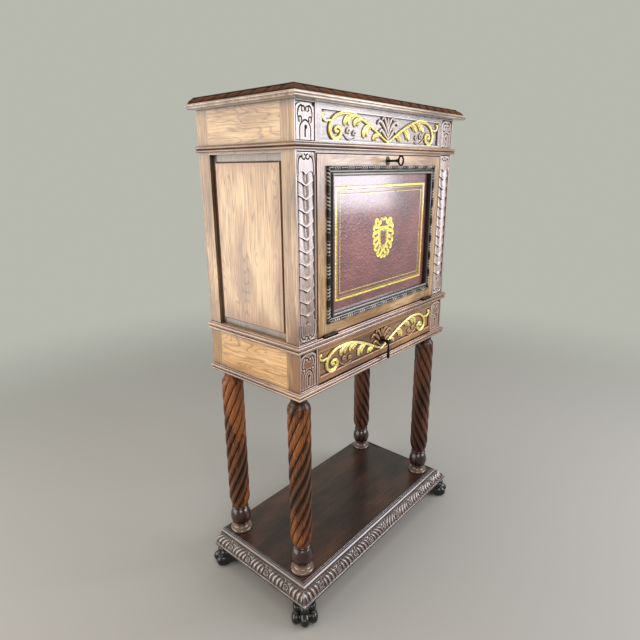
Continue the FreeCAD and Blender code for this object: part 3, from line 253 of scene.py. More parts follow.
# the bases are paler than the balls
discWood = waxedWood("paler_column_bases", "z", "#33211a", "#5a4336", "#83695a", rough=0.24, coat=0.8,
                     hollowShadeColour="#140b07", reach=5)[0]
edgeWood = waxedWood("carved_walnut_top_edge", "x", "#120703", "#2b1409", "#4f2912", rough=0.6, coat=0.0,
                     hollowShadeColour="#040201", ridgeColour="#a8652f", reach=4, sheen=0.1)[0]
# pale greyish tones that stand in for a white highlight on the lip: painted highlight
lipWood = waxedWood("waxed_walnut_top_lip", "x", "#5c4436", "#a08775", "#d0bcaa", rough=0.24, coat=0.9)[0]
paleWood = waxedWood("bare_secondary_wood", "x", "#7a5a38", "#9c7a52", "#b8966a", rough=0.62, coat=0.0)[0]
ebonised = waxedWood("ebonised_gloss_wood", "z", *blackTones, rough=0.3, coat=0.6, sheen=0.2,
                     hollowShadeColour="#020202", ridgeColour="#151210", reach=5)[0]
blackEdge = waxedWood("ebonised_door_moulding", "x", *blackEdgeTones, rough=0.24, coat=0.6, sheen=0.3,
                      hollowShadeColour="#020101", ridgeColour="#cdc1b6", reach=5)[0]


def metalMaterial(name, dark, light, rough, metallic=1.0):
    material, tree, surface = newMaterial(name)
    stain = noise(tree, ownPlace(tree), 160.0, 5.0)
    wire(tree, surface, {"Metallic": metallic},
         {"Base Color": ramp(tree, stain, ((0.35, dark), (0.65, light))),
          "Roughness": ramp(tree, stain, ((0.3, rough + 0.15), (0.7, rough - 0.05)))})
    return material


agedBrass = metalMaterial("aged_brass", "#6b4f22", "#b08d4c", 0.34)
darkBrass = metalMaterial("blackened_brass_hinges", "#120d08", "#33261a", 0.30, 0.8)
blackIron = metalMaterial("blackened_iron", "#0b0a09", "#1c1917", 0.38, 0.7)


def giltWood(name, along, tones, **settings):
    # carved wood whose gilt attribute lays worn gold leaf over it
    material, tree, surface, colour = waxedWood(name, along, *tones, **settings)
    wearAndHighlight = noise(tree, ownPlace(tree), 240.0, 4.0)
    relief = painted(tree, "relief")
    gold = ramp(tree, wearAndHighlight, ((0.30, "#a5863a"), (0.46, "#e0c765"), (0.68, "#f6eaa8")))
    shade = ramp(tree, calculate(tree, "MULTIPLY", relief, -1.0), ((0.05, 1.0), (0.7, 0.24)))
    gold = mixColour(tree, 1.0, gold, shade, "MULTIPLY")
    kept = ramp(tree, wearAndHighlight, ((0.24, 0.25), (0.34, 1.0)))
    laid = calculate(tree, "MULTIPLY", painted(tree, "gilt"), kept)
    wire(tree, surface, None, {"Base Color": mixColour(tree, laid, colour, gold),
                               "Metallic": calculate(tree, "MULTIPLY", laid, 0.35)})
    return material


# the frieze's paler, greyer tones than the drawer's are painted sheen
giltFrieze = giltWood("carved_walnut_gilt_frieze", "x", ("#5c463a", "#8f7767", "#b5a090"), rough=0.26,
                      coat=0.7, ridgeColour="#d6c4b4", reach=5)
giltDrawer = giltWood("carved_walnut_gilt_drawer", "x", ("#4a2c1b", "#865a3a", "#b1814f"), rough=0.28,
                      coat=0.6, ridgeColour="#c8986a", reach=5)


def tooledLeather():
    # pebbled oxblood leather; the gilt attribute is its gold tooling
    material, tree, surface = newMaterial("tooled_oxblood_leather")
    coordinates = ownPlace(tree)
    pebble = addNode(tree, "ShaderNodeTexVoronoi", {"Scale": 150.0}, {"Vector": coordinates})
    crease = noise(tree, coordinates, 60.0, 6.0)
    tone = noise(tree, coordinates, 9.0, 4.0)
    colour = ramp(tree, tone, ((0.32, "#4c2023"), (0.52, "#6a3334"), (0.72, "#814543")))
    worn = ramp(tree, crease, ((0.58, 0.0), (0.76, 0.35)))
    colour = mixColour(tree, worn, colour, "#946460")
    fleck = ramp(tree, crease, ((0.30, 0.35), (0.42, 1.0)))
    laid = calculate(tree, "MULTIPLY", painted(tree, "gilt"), fleck)
    height = calculate(tree, "ADD", calculate(tree, "MULTIPLY", pebble.outputs["Distance"], 0.7), crease)
    wire(tree, surface,
         {"Specular IOR Level": 0.5, "Coat Weight": 1.0, "Coat Roughness": 0.14, "Coat IOR": 1.65},
         {"Base Color": mixColour(tree, laid, colour, "#dccb48"),
          "Metallic": calculate(tree, "MULTIPLY", laid, 0.5),
          "Roughness": ramp(tree, crease, ((0.3, 0.50), (0.7, 0.34))),
          "Normal": bumped(tree, height, 1.0, 0.0014)})
    return material


oxblood = tooledLeather()


# mesh building


def link(mesh, name, material, body, nodes=(), angle=40):
    piece = bpy.data.objects.new(name, mesh)
    scene.collection.objects.link(piece)
    mesh.materials.append(material)
    for polygon in mesh.polygons:
        polygon.use_smooth = True
    mesh.set_sharp_from_angle(angle=math.radians(angle))
    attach(piece, body)
    if nodes:
        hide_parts(*nodes)
    return piece


def skin(name, rings, attributes=None):
    # a mesh over rings of points in mm, all with the same count, with flat ends
    rings = np.asarray(rings, float)
    count, points = rings.shape[:2]
    index = np.arange(count * points).reshape(count, points)
    lower, upper = index[:-1], index[1:]
    quads = np.stack([lower, np.roll(lower, -1, 1), np.roll(upper, -1, 1), upper], -1).reshape(-1, 4)
    faces = quads.tolist() + [index[0][::-1].tolist(), index[-1].tolist()]
    mesh = bpy.data.meshes.new(name)
    mesh.from_pydata((rings.reshape(-1, 3) * mm).tolist(), [], faces)
    for word, values in (attributes or {}).items():
        layer = mesh.attributes.new(word, "FLOAT", "POINT")
        layer.data.foreach_set("value", np.asarray(values, np.float32).reshape(-1))
    mesh.validate()
    mesh.update()
    return mesh


def turnRight(mesh):
    # makes the faces look outward
    form = bmesh.new()
    form.from_mesh(mesh)
    bmesh.ops.recalc_face_normals(form, faces=form.faces)
    form.to_mesh(mesh)
    form.free()
    return mesh


def blurred(heights, reach):
    # box blur twice, by running sums, edges held
    result = heights
    for axis in (0, 1, 0, 1):
        padded = np.pad(result, [(reach + 1, reach) if side == axis else (0, 0) for side in (0, 1)], "edge")
        sums = np.cumsum(padded, axis=axis)
        width = 2 * reach + 1
        high = np.take(sums, np.arange(width, sums.shape[axis]), axis=axis)
        low = np.take(sums, np.arange(0, sums.shape[axis] - width), axis=axis)
        result = (high - low) / width
    return result


def reliefOf(heights, reach, depth):
    # how far each place stands above or below its surroundings, from -1 to 1
    return np.clip((heights - blurred(heights, reach)) / depth, -1, 1)


def curve(points, steps=14):
    # a smooth line through points, each (x, z, half width), as evenly stepped rows
    rows = np.asarray(points, float)
    padded = np.vstack([2 * rows[0] - rows[1], rows, 2 * rows[-1] - rows[-2]])
    share = np.linspace(0, 1, steps, endpoint=False)[:, None]
    spans = []
    for before, start, end, after in zip(padded, padded[1:], padded[2:], padded[3:]):
        spans.append(0.5 * (2 * start + (end - before) * share
                            + (2 * before - 5 * start + 4 * end - after) * share ** 2
                            + (3 * start - before - 3 * end + after) * share ** 3))
    return np.vstack(spans + [rows[-1:]])


class Field:
    # a sheet of carving heights in mm over a grid, with its gilding

    def __init__(self, xs, zs):
        self.xs, self.zs = xs, zs
        self.x, self.z = np.meshgrid(xs, zs, indexing="ij")
        self.height = np.zeros_like(self.x)
        self.gilt = np.zeros_like(self.x)

    def lay(self, window, height, gilt):
        above = height > self.height[window]
        self.height[window] = np.where(above, height, self.height[window])
        self.gilt[window] = np.where(above & (height > 0), gilt, self.gilt[window])

    def stroke(self, points, height, gilt=0.0, groove=0.0, edge=0.45, mirror=False, veins=0):
        # a rounded ridge along a line of (x, z, half width); a groove or veins run along it
        rows = curve(points)
        for sign in ((1, -1) if mirror else (1,)):
            line = rows * (sign, 1, 1)
            reach = line[:, 2].max()
            window = np.ix_((self.xs > line[:, 0].min() - reach) & (self.xs < line[:, 0].max() + reach),
                            (self.zs > line[:, 1].min() - reach) & (self.zs < line[:, 1].max() + reach))
            x, z = self.x[window], self.z[window]
            if not x.size:
                continue
            best = np.full(x.shape, 9.0)
            side = np.zeros(x.shape)
            ahead = np.gradient(line[:, :2], axis=0)
            ahead /= np.linalg.norm(ahead, axis=1)[:, None] + 1e-9
            for (px, pz, width), (ax, az) in zip(line, ahead):
                away = np.hypot(x - px, z - pz) / width
                nearer = away < best
                best = np.where(nearer, away, best)
                side = np.where(nearer, ((x - px) * az - (z - pz) * ax) / width, side)
            bulge = np.sqrt(np.clip(1 - best ** 2, 0, 1))
            shape = height * (edge + (1 - edge) * bulge)
            if groove:
                shape -= groove * np.exp(-(side / 0.22) ** 2)
            if veins:
                shape -= 0.22 * height * (0.5 - 0.5 * np.cos(side * veins * math.pi))
            self.lay(window, np.where(best < 1, shape, -1), gilt)

    def boss(self, x, z, radius, height, gilt=0.0, edge=0.3, mirror=False):
        for sign in ((1, -1) if mirror else (1,)):
            away = np.hypot(self.x - sign * x, self.z - z) / radius
            shape = height * (edge + (1 - edge) * np.sqrt(np.clip(1 - away ** 2, 0, 1)))
            self.lay(np.s_[:, :], np.where(away < 1, shape, -1), gilt)

    def score(self, points, depth):
        # cuts a line into what stands there, on both sides of the middle
        mark = Field(self.xs, self.zs)
        mark.stroke(points, depth, mirror=True, edge=0.2)
        self.height = np.where(self.height > 0, np.maximum(self.height - mark.height, 0.4), self.height)

    def dig(self, x, z, radius, level):
        away = np.hypot(self.x - x, self.z - z) / radius
        self.height = np.where(away < 1, np.minimum(self.height, level), self.height)


def grid(low, high, step):
    return np.linspace(low, high, max(2, int(round((high - low) / step)) + 1))


def onFront(across, out, up):
    return np.stack([across, caseFront - out, up], -1)


def plate(name, field, thick, material, body, nodes, place=onFront, reach=6, depth=2.2, sheenAndShade=None,
          sides=None):
    # a board whose front carries a field of carving; place turns (across, out, up) into a point
    fronts = place(field.x, field.height, field.z)
    backs = np.stack([place(field.xs, np.full_like(field.xs, -thick), np.full_like(field.xs, level))
                      for level in (field.zs[-1], field.zs[0])], 1)
    extra = np.zeros((len(field.xs), 2))
    layers = {"relief": reliefOf(field.height, reach, depth), "gilt": field.gilt}
    if sheenAndShade is not None:
        layers["sheenAndShade"] = sheenAndShade
    layers = {word: np.concatenate([values, extra], 1) for word, values in layers.items()}
    rings = np.concatenate([fronts, backs], 1)
    mesh = skin(name, rings, layers)
    if sides:
        columns = np.tile((np.arange(rings.shape[1]) >= len(field.zs) - 1).astype(np.int32), len(rings) - 1)
        mesh.polygons.foreach_set("material_index", np.concatenate([columns, [1, 1]]).astype(np.int32))
    piece = link(turnRight(mesh), name, material, body, nodes, angle=60)
    if sides:
        mesh.materials.append(sides)
    return piece


# carved scrolls of the frieze and the drawer: half a pattern, mirrored about the middle

scroll = {
    "stem": [(0, 3, 3.2), (20, 11.5, 3.6), (41, 21.8, 4.0), (70, 35.5, 4.2), (98, 47.5, 4.4),
             (136, 60.5, 4.6), (164, 65.4, 4.6), (190, 65.6, 4.6), (216, 61.6, 4.6), (236, 50.6, 4.7),
             (248, 34.7, 4.8), (249, 19.3, 5.0), (240, 7.8, 5.2), (226, 4.8, 5.4), (212, 10, 5.6),
             (206, 21, 5.4), (212, 30.5, 4.8), (224, 31.5, 4.0), (230, 25, 3.6), (226, 19.5, 3.6)],
    "eye": (222, 21.5, 5.2),
    "tendril": [(243, 45, 2.6), (252, 45.6, 3.2), (262, 43.8, 3.4), (271, 46.5, 3.6), (277, 53, 3.6),
                (276, 59.5, 4.2)],
    "tip": (272.5, 60.5, 5.2),
    "leaves": [
        [(150, 63, 3.0), (170, 60, 6.0), (184, 53, 7.4), (190, 45, 6.6), (190, 39.5, 4.6)],
        [(146, 61, 2.4), (162, 55.5, 4.6), (172, 48, 5.2), (175, 41.5, 3.8)],
        [(122, 56, 2.6), (138, 53, 5.2), (149, 46.5, 6.2), (150, 39.5, 4.6)],
        [(118, 54, 2.0), (130, 48, 3.8), (137, 41, 3.4)],
        [(80, 40, 3.0), (96, 37.5, 6.2), (107, 30, 7.6), (111, 21, 6.6), (111, 14.5, 4.6)],
        [(78, 38, 2.2), (90, 31.5, 4.6), (97, 23, 4.6), (98, 17, 3.4)],
        [(40, 21, 2.4), (54, 20.5, 4.4), (64, 15, 5.4), (67, 8.5, 4.2)],
        [(38, 19, 2.0), (50, 14.5, 3.2), (55, 8.5, 2.8)],
    ],
    "rosetteStem": [(198, 19, 1.6), (188, 11, 2.0), (176, 4.6, 2.2), (162, 3.2, 2.2), (148, 6.5, 2.2)],
    "curls": [(176, 24.0, 8.6), (151, 19.0, 7.6)],
    "plume": [
        [(1, 10, 2.4), (9, 17, 3.6), (19, 26, 4.6), (29, 33, 4.2), (37, 32, 3.2), (39, 28, 2.4)],
        [(1, 18, 2.4), (8, 30, 3.8), (18, 43, 5.0), (30, 53, 4.8), (42, 56, 3.8), (48, 50, 3.0)],
        [(1, 30, 2.2), (4, 42, 3.2), (9, 54, 4.2), (17, 64, 4.0), (25, 66, 3.0), (28, 60, 2.4)],
    ],
    "plumeMiddle": [(0, 8, 2.4), (0, 28, 3.0), (0, 46, 3.4), (0, 62, 3.0), (0, 67, 1.8)],
}


def carveScroll(field, wide, base, high):
    # wide stretches the pattern sideways, base is its foot and high its carved height
    def moved(points):
        return [(x * wide, z + base, width) for x, z, width in points]

    field.stroke(moved(scroll["stem"]), high, 1.0, groove=1.6, mirror=True)
    x, z, radius = scroll["eye"]
    field.boss(x * wide, z + base, radius, high * 1.1, 1.0, mirror=True)
    field.stroke(moved(scroll["tendril"]), high * 0.85, 1.0, groove=0.8, mirror=True)
    x, z, radius = scroll["tip"]
    field.boss(x * wide, z + base, radius, high * 0.95, 1.0, mirror=True)
    for leaf in scroll["leaves"]:
        field.stroke(moved(leaf), high * 0.92, 1.0, mirror=True, veins=2, edge=0.25)
    field.stroke(moved(scroll["rosetteStem"]), high * 0.6, 0.0, mirror=True)
    for x, z, radius in scroll["curls"]:
        turns = [(x * wide + radius * 0.78 * math.cos(angle) * (1 - angle / 9), z + base
                  + radius * 0.78 * math.sin(angle) * (1 - angle / 9), radius * 0.36)
                 for angle in np.linspace(-0.4, 5.2, 9)]
        field.stroke(turns, high * 0.8, 0.0, mirror=True, edge=0.3)
        field.boss(x * wide + radius * 0.1, z + base, radius * 0.26, high * 0.9, 0.0, mirror=True)
    for leaf in scroll["plume"]:
        field.stroke(moved(leaf), high * 0.95, 0.0, groove=0.7, mirror=True, edge=0.35)
    field.stroke(moved(scroll["plumeMiddle"]), high, 0.0, groove=0.7, edge=0.35)


def sunkField(field, half, low, high, depth, bevel):
    # the ground lies inside a plain frame
    inside = np.minimum(half - np.abs(field.x), np.minimum(field.z - low, high - field.z))
    field.height -= depth * np.clip(inside / bevel, 0, 1)


def layCarving(field, carving):
    # the carving stands on the ground and never above the frame
    cut = carving.height > 0.2
    field.height = np.where(cut, np.clip(field.height + carving.height, field.height, 0.0), field.height)
    field.gilt = carving.gilt * cut
    tooth = 0.14 * np.sin(field.x * 1.7) * np.sin(field.z * 1.3 + field.x * 0.21)
    field.height += np.where(cut, 0.0, tooth)


carveStep = 0.7
carveDeep = 5.8


def makeFrieze():
    field = Field(grid(-openingHalf, openingHalf, carveStep), grid(friezeLow[2], friezeHigh[2], carveStep))
    carving = Field(field.xs, field.zs)
    carveScroll(carving, 1.0, friezeLow[2] + 6, carveDeep)
    sunkField(field, openingHalf - 20, friezeLow[2] + 7, friezeHigh[2] - 14, carveDeep, 1.4)
    layCarving(field, carving)
    plate("carved_frieze", field, friezeHigh[1] - caseFront, giltFrieze, "case",
          ["frieze_panel"], reach=4, depth=1.8)
    print("frieze")


makeFrieze()


def makeDrawerFront():
    low, high = drawerLow, drawerHigh
    field = Field(grid(low[0], high[0], carveStep), grid(low[2], high[2], carveStep))
    carving = Field(field.xs, field.zs)
    carveScroll(carving, 1.055, low[2] + 16.5, carveDeep)
    sunkField(field, high[0] - 5, low[2] + 18, high[2] - 15, carveDeep, 1.4)
    layCarving(field, carving)
    inside = np.minimum(np.minimum(field.x - low[0], high[0] - field.x),
                        np.minimum(field.z - low[2], high[2] - field.z))
    field.height -= 1.2 * (1 - np.clip(inside / 1.6, 0, 1)) ** 2
    plate("carved_drawer_front", field, high[1] - caseFront, giltDrawer, "drawer",
          ["drawer_front"], reach=4, depth=1.8)
    print("drawer front")


makeDrawerFront()


# front posts: a hooded block at the top and bottom, husks between, all cut by thin dark lines

scoreOut = 1.4        # how far a scored ring lies outside its curl
uncut = -9            # a height that lies under everything


def ringRound(x, z, radius, width, start, end):
    # part of a circle as rows of (x, z, half width)
    return [(x + radius * math.cos(turn), z + radius * math.sin(turn), width)
            for turn in np.linspace(start, end, 9)]


block = {
    "half": 30.0,
    "drawnTall": 86.0,        # the height that the outlines below are drawn for
    "hood": [(9, 74, 1.4), (14, 75, 2.0), (20, 70.5, 2.2), (23.5, 62, 2.2), (24, 54, 2.0), (21, 48, 1.6)],
    "hoodCurl": (6.8, 68.0, 4.2),
    "sideCurl": (17.0, 45.5, 4.4),
    "arch": [(18.5, 3, 1.6), (18.5, 20, 2.0), (16.5, 32, 2.0), (9, 41, 1.9), (0, 44.5, 1.8)],
    "eye": (1.5, 29.0, 5.0),
    "slit": (-0.4, 7.0, 2.6),
}


def carveBlock(field, centre, low, high):
    # a hood with curled ends over an arch with a keyhole, between two levels of a post
    stretch = (high - low) / block["drawnTall"]

    def moved(points):
        return [(x, low + z * stretch, width) for x, z, width in points]

    part = Field(field.xs - centre, field.zs)
    half = block["half"]
    across = np.abs(part.x)
    crown = low + stretch * (82 - 9 * (across / half) ** 3)
    inside = (across < half) & (part.z > low + 1) & (part.z < crown)
    part.height = np.where(inside, 4.2 + 0.9 * np.cos(across / half * math.pi / 2), 0)
    for word in ("hood", "arch"):
        part.score(moved(block[word]), 4.4)
    for word in ("hoodCurl", "sideCurl"):
        x, z, radius = block[word]
        part.score(ringRound(x, low + z * stretch, radius + scoreOut, 1.5, -1.2, 4.0), 4.0)
        part.boss(x, low + z * stretch, radius, 5.6, mirror=True)
    x, z, radius = block["eye"]
    part.dig(x, low + z * stretch, radius, 0.3)
    x, foot, half = block["slit"]
    slit = (np.abs(part.x - x) < half) & (part.z < low + z * stretch) & (part.z > low + foot * stretch)
    part.height = np.where(slit, 0.3, part.height)
    field.height = np.maximum(field.height, np.where(part.height > 0, part.height, uncut))


husk = {
    "pitch": 31.9,
    "half": 27.0,
    "point": 12.5,        # how far the middle of a lip hangs below its ends
    "narrowing": 3.6,
    "thin": 2.3,          # height at the foot, and how much more the lip has
    "lip": 3.4,
    "foldDeep": 2.3,
    "foldReach": 7.5,
}


def carveHusks(field, centre, low, high):
    # overlapping husks like folded shields, each with a pointed lip over the next one down
    across = np.abs(field.x - centre)
    share = np.clip(across / husk["half"], 0, 1.1)
    dip = husk["point"] * (1 - share)
    place = (field.z - low + dip) / husk["pitch"]
    climb = place - np.floor(place)
    width = husk["half"] - husk["narrowing"] * climb
    body = husk["thin"] + husk["lip"] * (1 - climb) ** 0.8
    rounding = 0.55 + 0.45 * np.sqrt(np.clip(1 - (across / width) ** 6, 0, 1))
    fold = husk["foldDeep"] * np.exp(-(across / husk["foldReach"]) ** 2) * np.clip(climb * 4 - 0.3, 0, 1)
    inside = (across < width) & (field.z > low - dip) & (field.z < high)
    height = np.maximum(body * rounding - fold, 0.5)
    field.height = np.maximum(field.height, np.where(inside, height, uncut))


cap = {
    "rim": [(8, 7, 2.2), (15, 4.5, 2.6), (23, 7.5, 3.0), (28, 17, 3.0), (29.8, 33, 2.6), (29, 52, 2.2)],
    "line": [(11, 15, 1.2), (15, 11, 1.8), (21, 13.5, 2.0), (24.5, 22, 1.8), (26, 36, 1.6), (25.5, 50, 1.2)],
    "curl": (6.8, 11.5, 4.4),
}


def carveCap(field, centre, low, high, down):
    # a plain tongue under two curls, over the husks, or the same turned upside down under them
    def level(drop):
        return low + drop if down else high - drop

    def moved(points):
        return [(x, level(drop), width) for x, drop, width in points]

    part = Field(field.xs - centre, field.zs)
    across = np.abs(part.x)
    drop = part.z - low if down else high - part.z
    lip = 44 + 7 * np.exp(-(across / 6.5) ** 2) + 6 * np.clip((across - 17) / 12, 0, 1)
    tongue = (across < 29) & (drop > 2) & (drop < lip)
    part.height = np.where(tongue, 4.3 + 1.1 * np.cos(across / 29 * math.pi / 2), 0)
    part.stroke(moved(cap["rim"]), 5.7, mirror=True, edge=0.5)
    part.score(moved(cap["line"]), 4.4)
    x, middle, radius = cap["curl"]
    part.score(moved(ringRound(x, middle, radius + scoreOut, 1.6, -0.4, 4.4)), 4.4)
    part.boss(x, level(middle), radius, 5.7, mirror=True)
    field.height = np.maximum(field.height, np.where(part.height > 0, part.height, uncut))


def makePosts():
    centre = (postLow[0] - openingHalf) / 2
    waist, sill, rail, frieze = sillLow[2], sillHigh[2], railLow[2], railHigh[2]
    field = Field(grid(postLow[0], -openingHalf, carveStep), grid(postLow[2], postHigh[2], carveStep))
    ground, capTall = 5.8, 54
    gapWide, gapDeep = 2.4, 4.5        # the shadow gap beside the fall front
    sunk = np.zeros_like(field.height)
    for low, high, left, right in ((postLow[2] + 2, waist - 1, 5, 3), (sill + 1, rail + 3, 5, 3),
                                   (frieze + 2, postHigh[2] - 2, 3, 3)):
        inside = np.minimum(np.minimum(field.x - postLow[0] - left, -openingHalf - right - field.x),
                            np.minimum(field.z - low, high - field.z))
        sunk = np.maximum(sunk, ground * np.clip(inside / 1.3, 0, 1))
    carving = Field(field.xs, field.zs)
    carving.height -= 1
    carveBlock(carving, centre, postLow[2] + 4, waist - 2)
    carveBlock(carving, centre, frieze + 3, postHigh[2] - 1)
    carveHusks(carving, centre, sill + capTall - 4, rail - capTall + 12)
    carveCap(carving, centre, rail - capTall + 2, rail + 2, False)
    carveCap(carving, centre, sill + 2, sill + capTall - 2, True)
    field.height = np.where(carving.height > 0, np.minimum(carving.height - ground, 0.0), -sunk)
    beside = (field.x > -openingHalf - gapWide) & (field.z > sill) & (field.z < rail)
    field.height = np.where(beside, -gapDeep, field.height)
    for word, sign in (("left", 1), ("right", -1)):
        part = Field(field.xs if sign > 0 else -field.xs[::-1], field.zs)
        part.height = field.height if sign > 0 else field.height[::-1]
        # below the waist the posts are browned: painted shade where the painted sheen falls away
        plate(f"carved_post_{word}", part, postHigh[1] - caseFront, carvedZ, "case",
              [f"post_front_{word}"], reach=4, depth=1.8, sheenAndShade=-np.clip((waist - part.z) / 30 + 0.4, 0, 1),
              sides=woodZ)
    print("posts")


makePosts()


# platform moulding: carved leaves between a bead and a fillet


def profileLine(points, step):
    # evenly stepped places, outward normals and lengths along a line of (out, up) points
    rows = np.asarray(points, float)
    lengths = np.concatenate([[0], np.cumsum(np.hypot(*np.diff(rows, axis=0).T))])
    places = np.linspace(0, lengths[-1], int(lengths[-1] / step) + 1)
    line = np.stack([np.interp(places, lengths, rows[:, axis]) for axis in (0, 1)], -1)
    ahead = np.gradient(line, axis=0)
    ahead /= np.linalg.norm(ahead, axis=1)[:, None] + 1e-9
    normals = np.stack([-ahead[:, 1], ahead[:, 0]], -1)
    return line, normals, places


def arc(centreOut, centreUp, radius, start, end, count=10):
    turns = [math.radians(turn) for turn in np.linspace(start, end, count)]
    return [(centreOut + radius * math.cos(turn), centreUp + radius * math.sin(turn)) for turn in turns]


def run(name, line, normals, heights, along, place, material, body, slot, nodes, reliefDepth=1.6,
        plain=None, carved=None, wearAndHighlight=0.0):
    # sweeps a profile along a side; place turns (share, out, up) into a point, and the stretches of the
    # profile that aren't carved may be of the plain material
    outs = line[None, :, 0] + normals[None, :, 0] * heights
    ups = line[None, :, 1] + normals[None, :, 1] * heights
    rings = place(along[:, None] + 0 * outs, outs, ups)
    mesh = skin(name, rings, {"relief": np.clip(reliefOf(heights, 5, reliefDepth) + wearAndHighlight, -1, 1)})
    if plain:
        columns = np.tile(np.where(carved, 0, 1), len(rings) - 1)
        mesh.polygons.foreach_set("material_index", np.concatenate([columns, [1, 1]]).astype(np.int32))
    piece = link(turnRight(mesh), name, material, body, nodes, angle=70)
    if plain:
        mesh.materials.append(plain)
    return piece


def runRound(name, line, outward, heightsFor, step, level, back, material, slot, nodes, **settings):
    # the front run and both side runs of a moulding round the case, mitred at the front corners
    half = grid(0, caseHalf, step)
    along = np.concatenate([-caseHalf + half, (caseHalf - half)[::-1][1:]])
    run(f"{name}_front", line, outward, heightsFor(caseHalf - np.abs(along)), along / caseHalf,
        lambda at, outs, ups: np.stack([at * (caseHalf + outs), caseFront - outs, level + ups], -1),
        material, "case", slot, nodes[:1], **settings)
    deep = back - caseFront
    sideAlong = grid(0, deep, step)
    for sign, word in ((-1, "left"), (1, "right")):
        run(f"{name}_{word}", line, outward, heightsFor(sideAlong), sideAlong / sideAlong[-1],
            lambda at, outs, ups, sign=sign: np.stack(
                [sign * (caseHalf + outs), caseFront - outs + at * (deep + outs), level + ups], -1),
            material, "case", slot, nodes[-1:], **settings)


leafRun = {
    "pitch": 77.0,
    "ribs": 5.2,        # to a pitch
    "body": 4.4,        # carved heights
    "roll": 4.2,
    "eye": 3.8,
    "tip": 3.6,
    "stalk": 2.6,
}


def leafBand(distance, share):
    # ribbed lobes with a small curl between them: share runs 0 to 1 across, distance along from the corner
    place = (distance / leafRun["pitch"]) % 1
    middle = share - 0.5
    bow = place - 0.30 * middle + 0.42 * middle ** 2
    ribs = np.abs(np.sin(math.pi * bow * leafRun["ribs"])) ** 0.7
    lobe = np.clip(1 - np.abs((place - 0.40 - 0.12 * middle) / 0.38) ** 3, 0, 1)
    lobe = lobe * np.clip(1 - np.abs(middle * 2.05) ** 4, 0, 1)
    body = leafRun["body"] * np.sqrt(lobe) * (0.10 + 0.90 * ribs)
    curl = np.hypot((place - 0.90) * 1.9, middle * 1.1 - 0.06)
    roll = leafRun["roll"] * np.exp(-((curl - 0.19) / 0.06) ** 2)
    roll = roll + leafRun["eye"] * np.exp(-(curl / 0.07) ** 2)
    tip = leafRun["tip"] * np.exp(-((place - 0.86 + 0.16 * middle) / 0.05) ** 2)
    tip = tip * np.clip(-middle * 6 - 0.9, 0, 1)
    stalk = leafRun["stalk"] * np.exp(-((np.abs(middle) - 0.45) / 0.05) ** 2)
    return np.maximum(np.maximum(body, roll), np.maximum(tip, stalk))


def makePlatformMoulding():
    profile = [(0.2, -48), (0.2, 0)] + arc(2.6, 0.2, 1.4, 180, 10, 8) + arc(8, 0.0, 2.5, 170, 0, 10)
    profile += [(12, -3.6), (15.5, -7.2), (19, -8.6), (22, -8.2)]
    profile += [(22 + 22 * share, -8.2 - 27.4 * (share * 0.62 + 0.38 * share ** 2.2)) for share in
                np.linspace(0.08, 1, 12)]
    profile += [(44.8, -37.2), (44.8, -42.4), (42, -44), (40, -49.8), (1, -49.8), (0.2, -48)]
    line, normals, places = profileLine(profile, 0.9)
    start = np.argmin(np.hypot(line[:, 0] - 22, line[:, 1] + 8.2))
    end = np.argmin(np.hypot(line[:, 0] - 44, line[:, 1] + 35.6))
    share = np.clip((places - places[start]) / (places[end] - places[start]), 0, 1)
    band = (share > 0) & (share < 1)
    depth = 4.4
    outward = normals if normals[start + 5, 0] > 0 else -normals

    def heightsFor(distance):
        carved = leafBand(distance[:, None], share[None, :]) - depth
        corner = np.exp(-(distance[:, None] / 5.0) ** 2)
        carved = carved * (1 - corner) - 1.4 * corner
        fade = np.clip(np.minimum(share, 1 - share) * 12, 0, 1)[None, :]
        return np.where(band[None, :], carved * fade, 0.0)

    back = nodeBox("platform_moulding_sides")[1][1]
    runRound("carved_platform", line, outward, heightsFor, 1.1, platformTop, back, standCarved,
             "dark_walnut", ["platform_moulding_front", "platform_moulding_sides"])
    print("platform moulding")


makePlatformMoulding()


# columns: turned base and shoulder, rope-twist reeds between


column = {
    "base": [(0, 33.4), (1, 34.8), (3, 35.4), (6, 35.4), (8.4, 34.2), (10, 31.6), (11, 28.2),
             (12.4, 25.2), (15, 23.4), (19, 22.3), (23.5, 22.8)],
    "ball": (22.5, 82, 52.5, 33.4, 0.68),      # low and high end, middle, radius, squashing
    "rings": [(81, 22.4), (83, 22.4), (83.6, 25.6), (84.8, 27.2), (86, 27.4), (87.2, 26.6), (87.8, 25.0),
              (88.4, 24.4), (89.2, 25.8), (90.4, 26.2), (91.6, 25.4), (92.4, 23.8), (94, 23.2), (96, 23.2)],
    "shaft": (95, 536),
    "shoulder": [(538, 32.6), (542, 32.2), (547, 30.4), (551, 27.6), (554.5, 24.8), (558, 23.4), (562, 23.0),
                 (583, 22.8)],
    "reeds": 8,
    "facets": 18,        # of each reed
    "turns": 1.05,
    "deep": 5.0,
    "radius": 33.2,
    "footRadius": 24.0,
    "footTall": 36,
}


def turned(name, word, centre, outline, material):
    angles = np.linspace(0, 2 * math.pi, 88, endpoint=False)
    rings = [np.stack([centre[0] + radius * np.cos(angles), centre[1] + radius * np.sin(angles),
                       np.full_like(angles, platformTop + level)], -1) for level, radius in outline]
    link(turnRight(skin(name, rings)), name, material, "case", [f"leg_{word}"], angle=32)


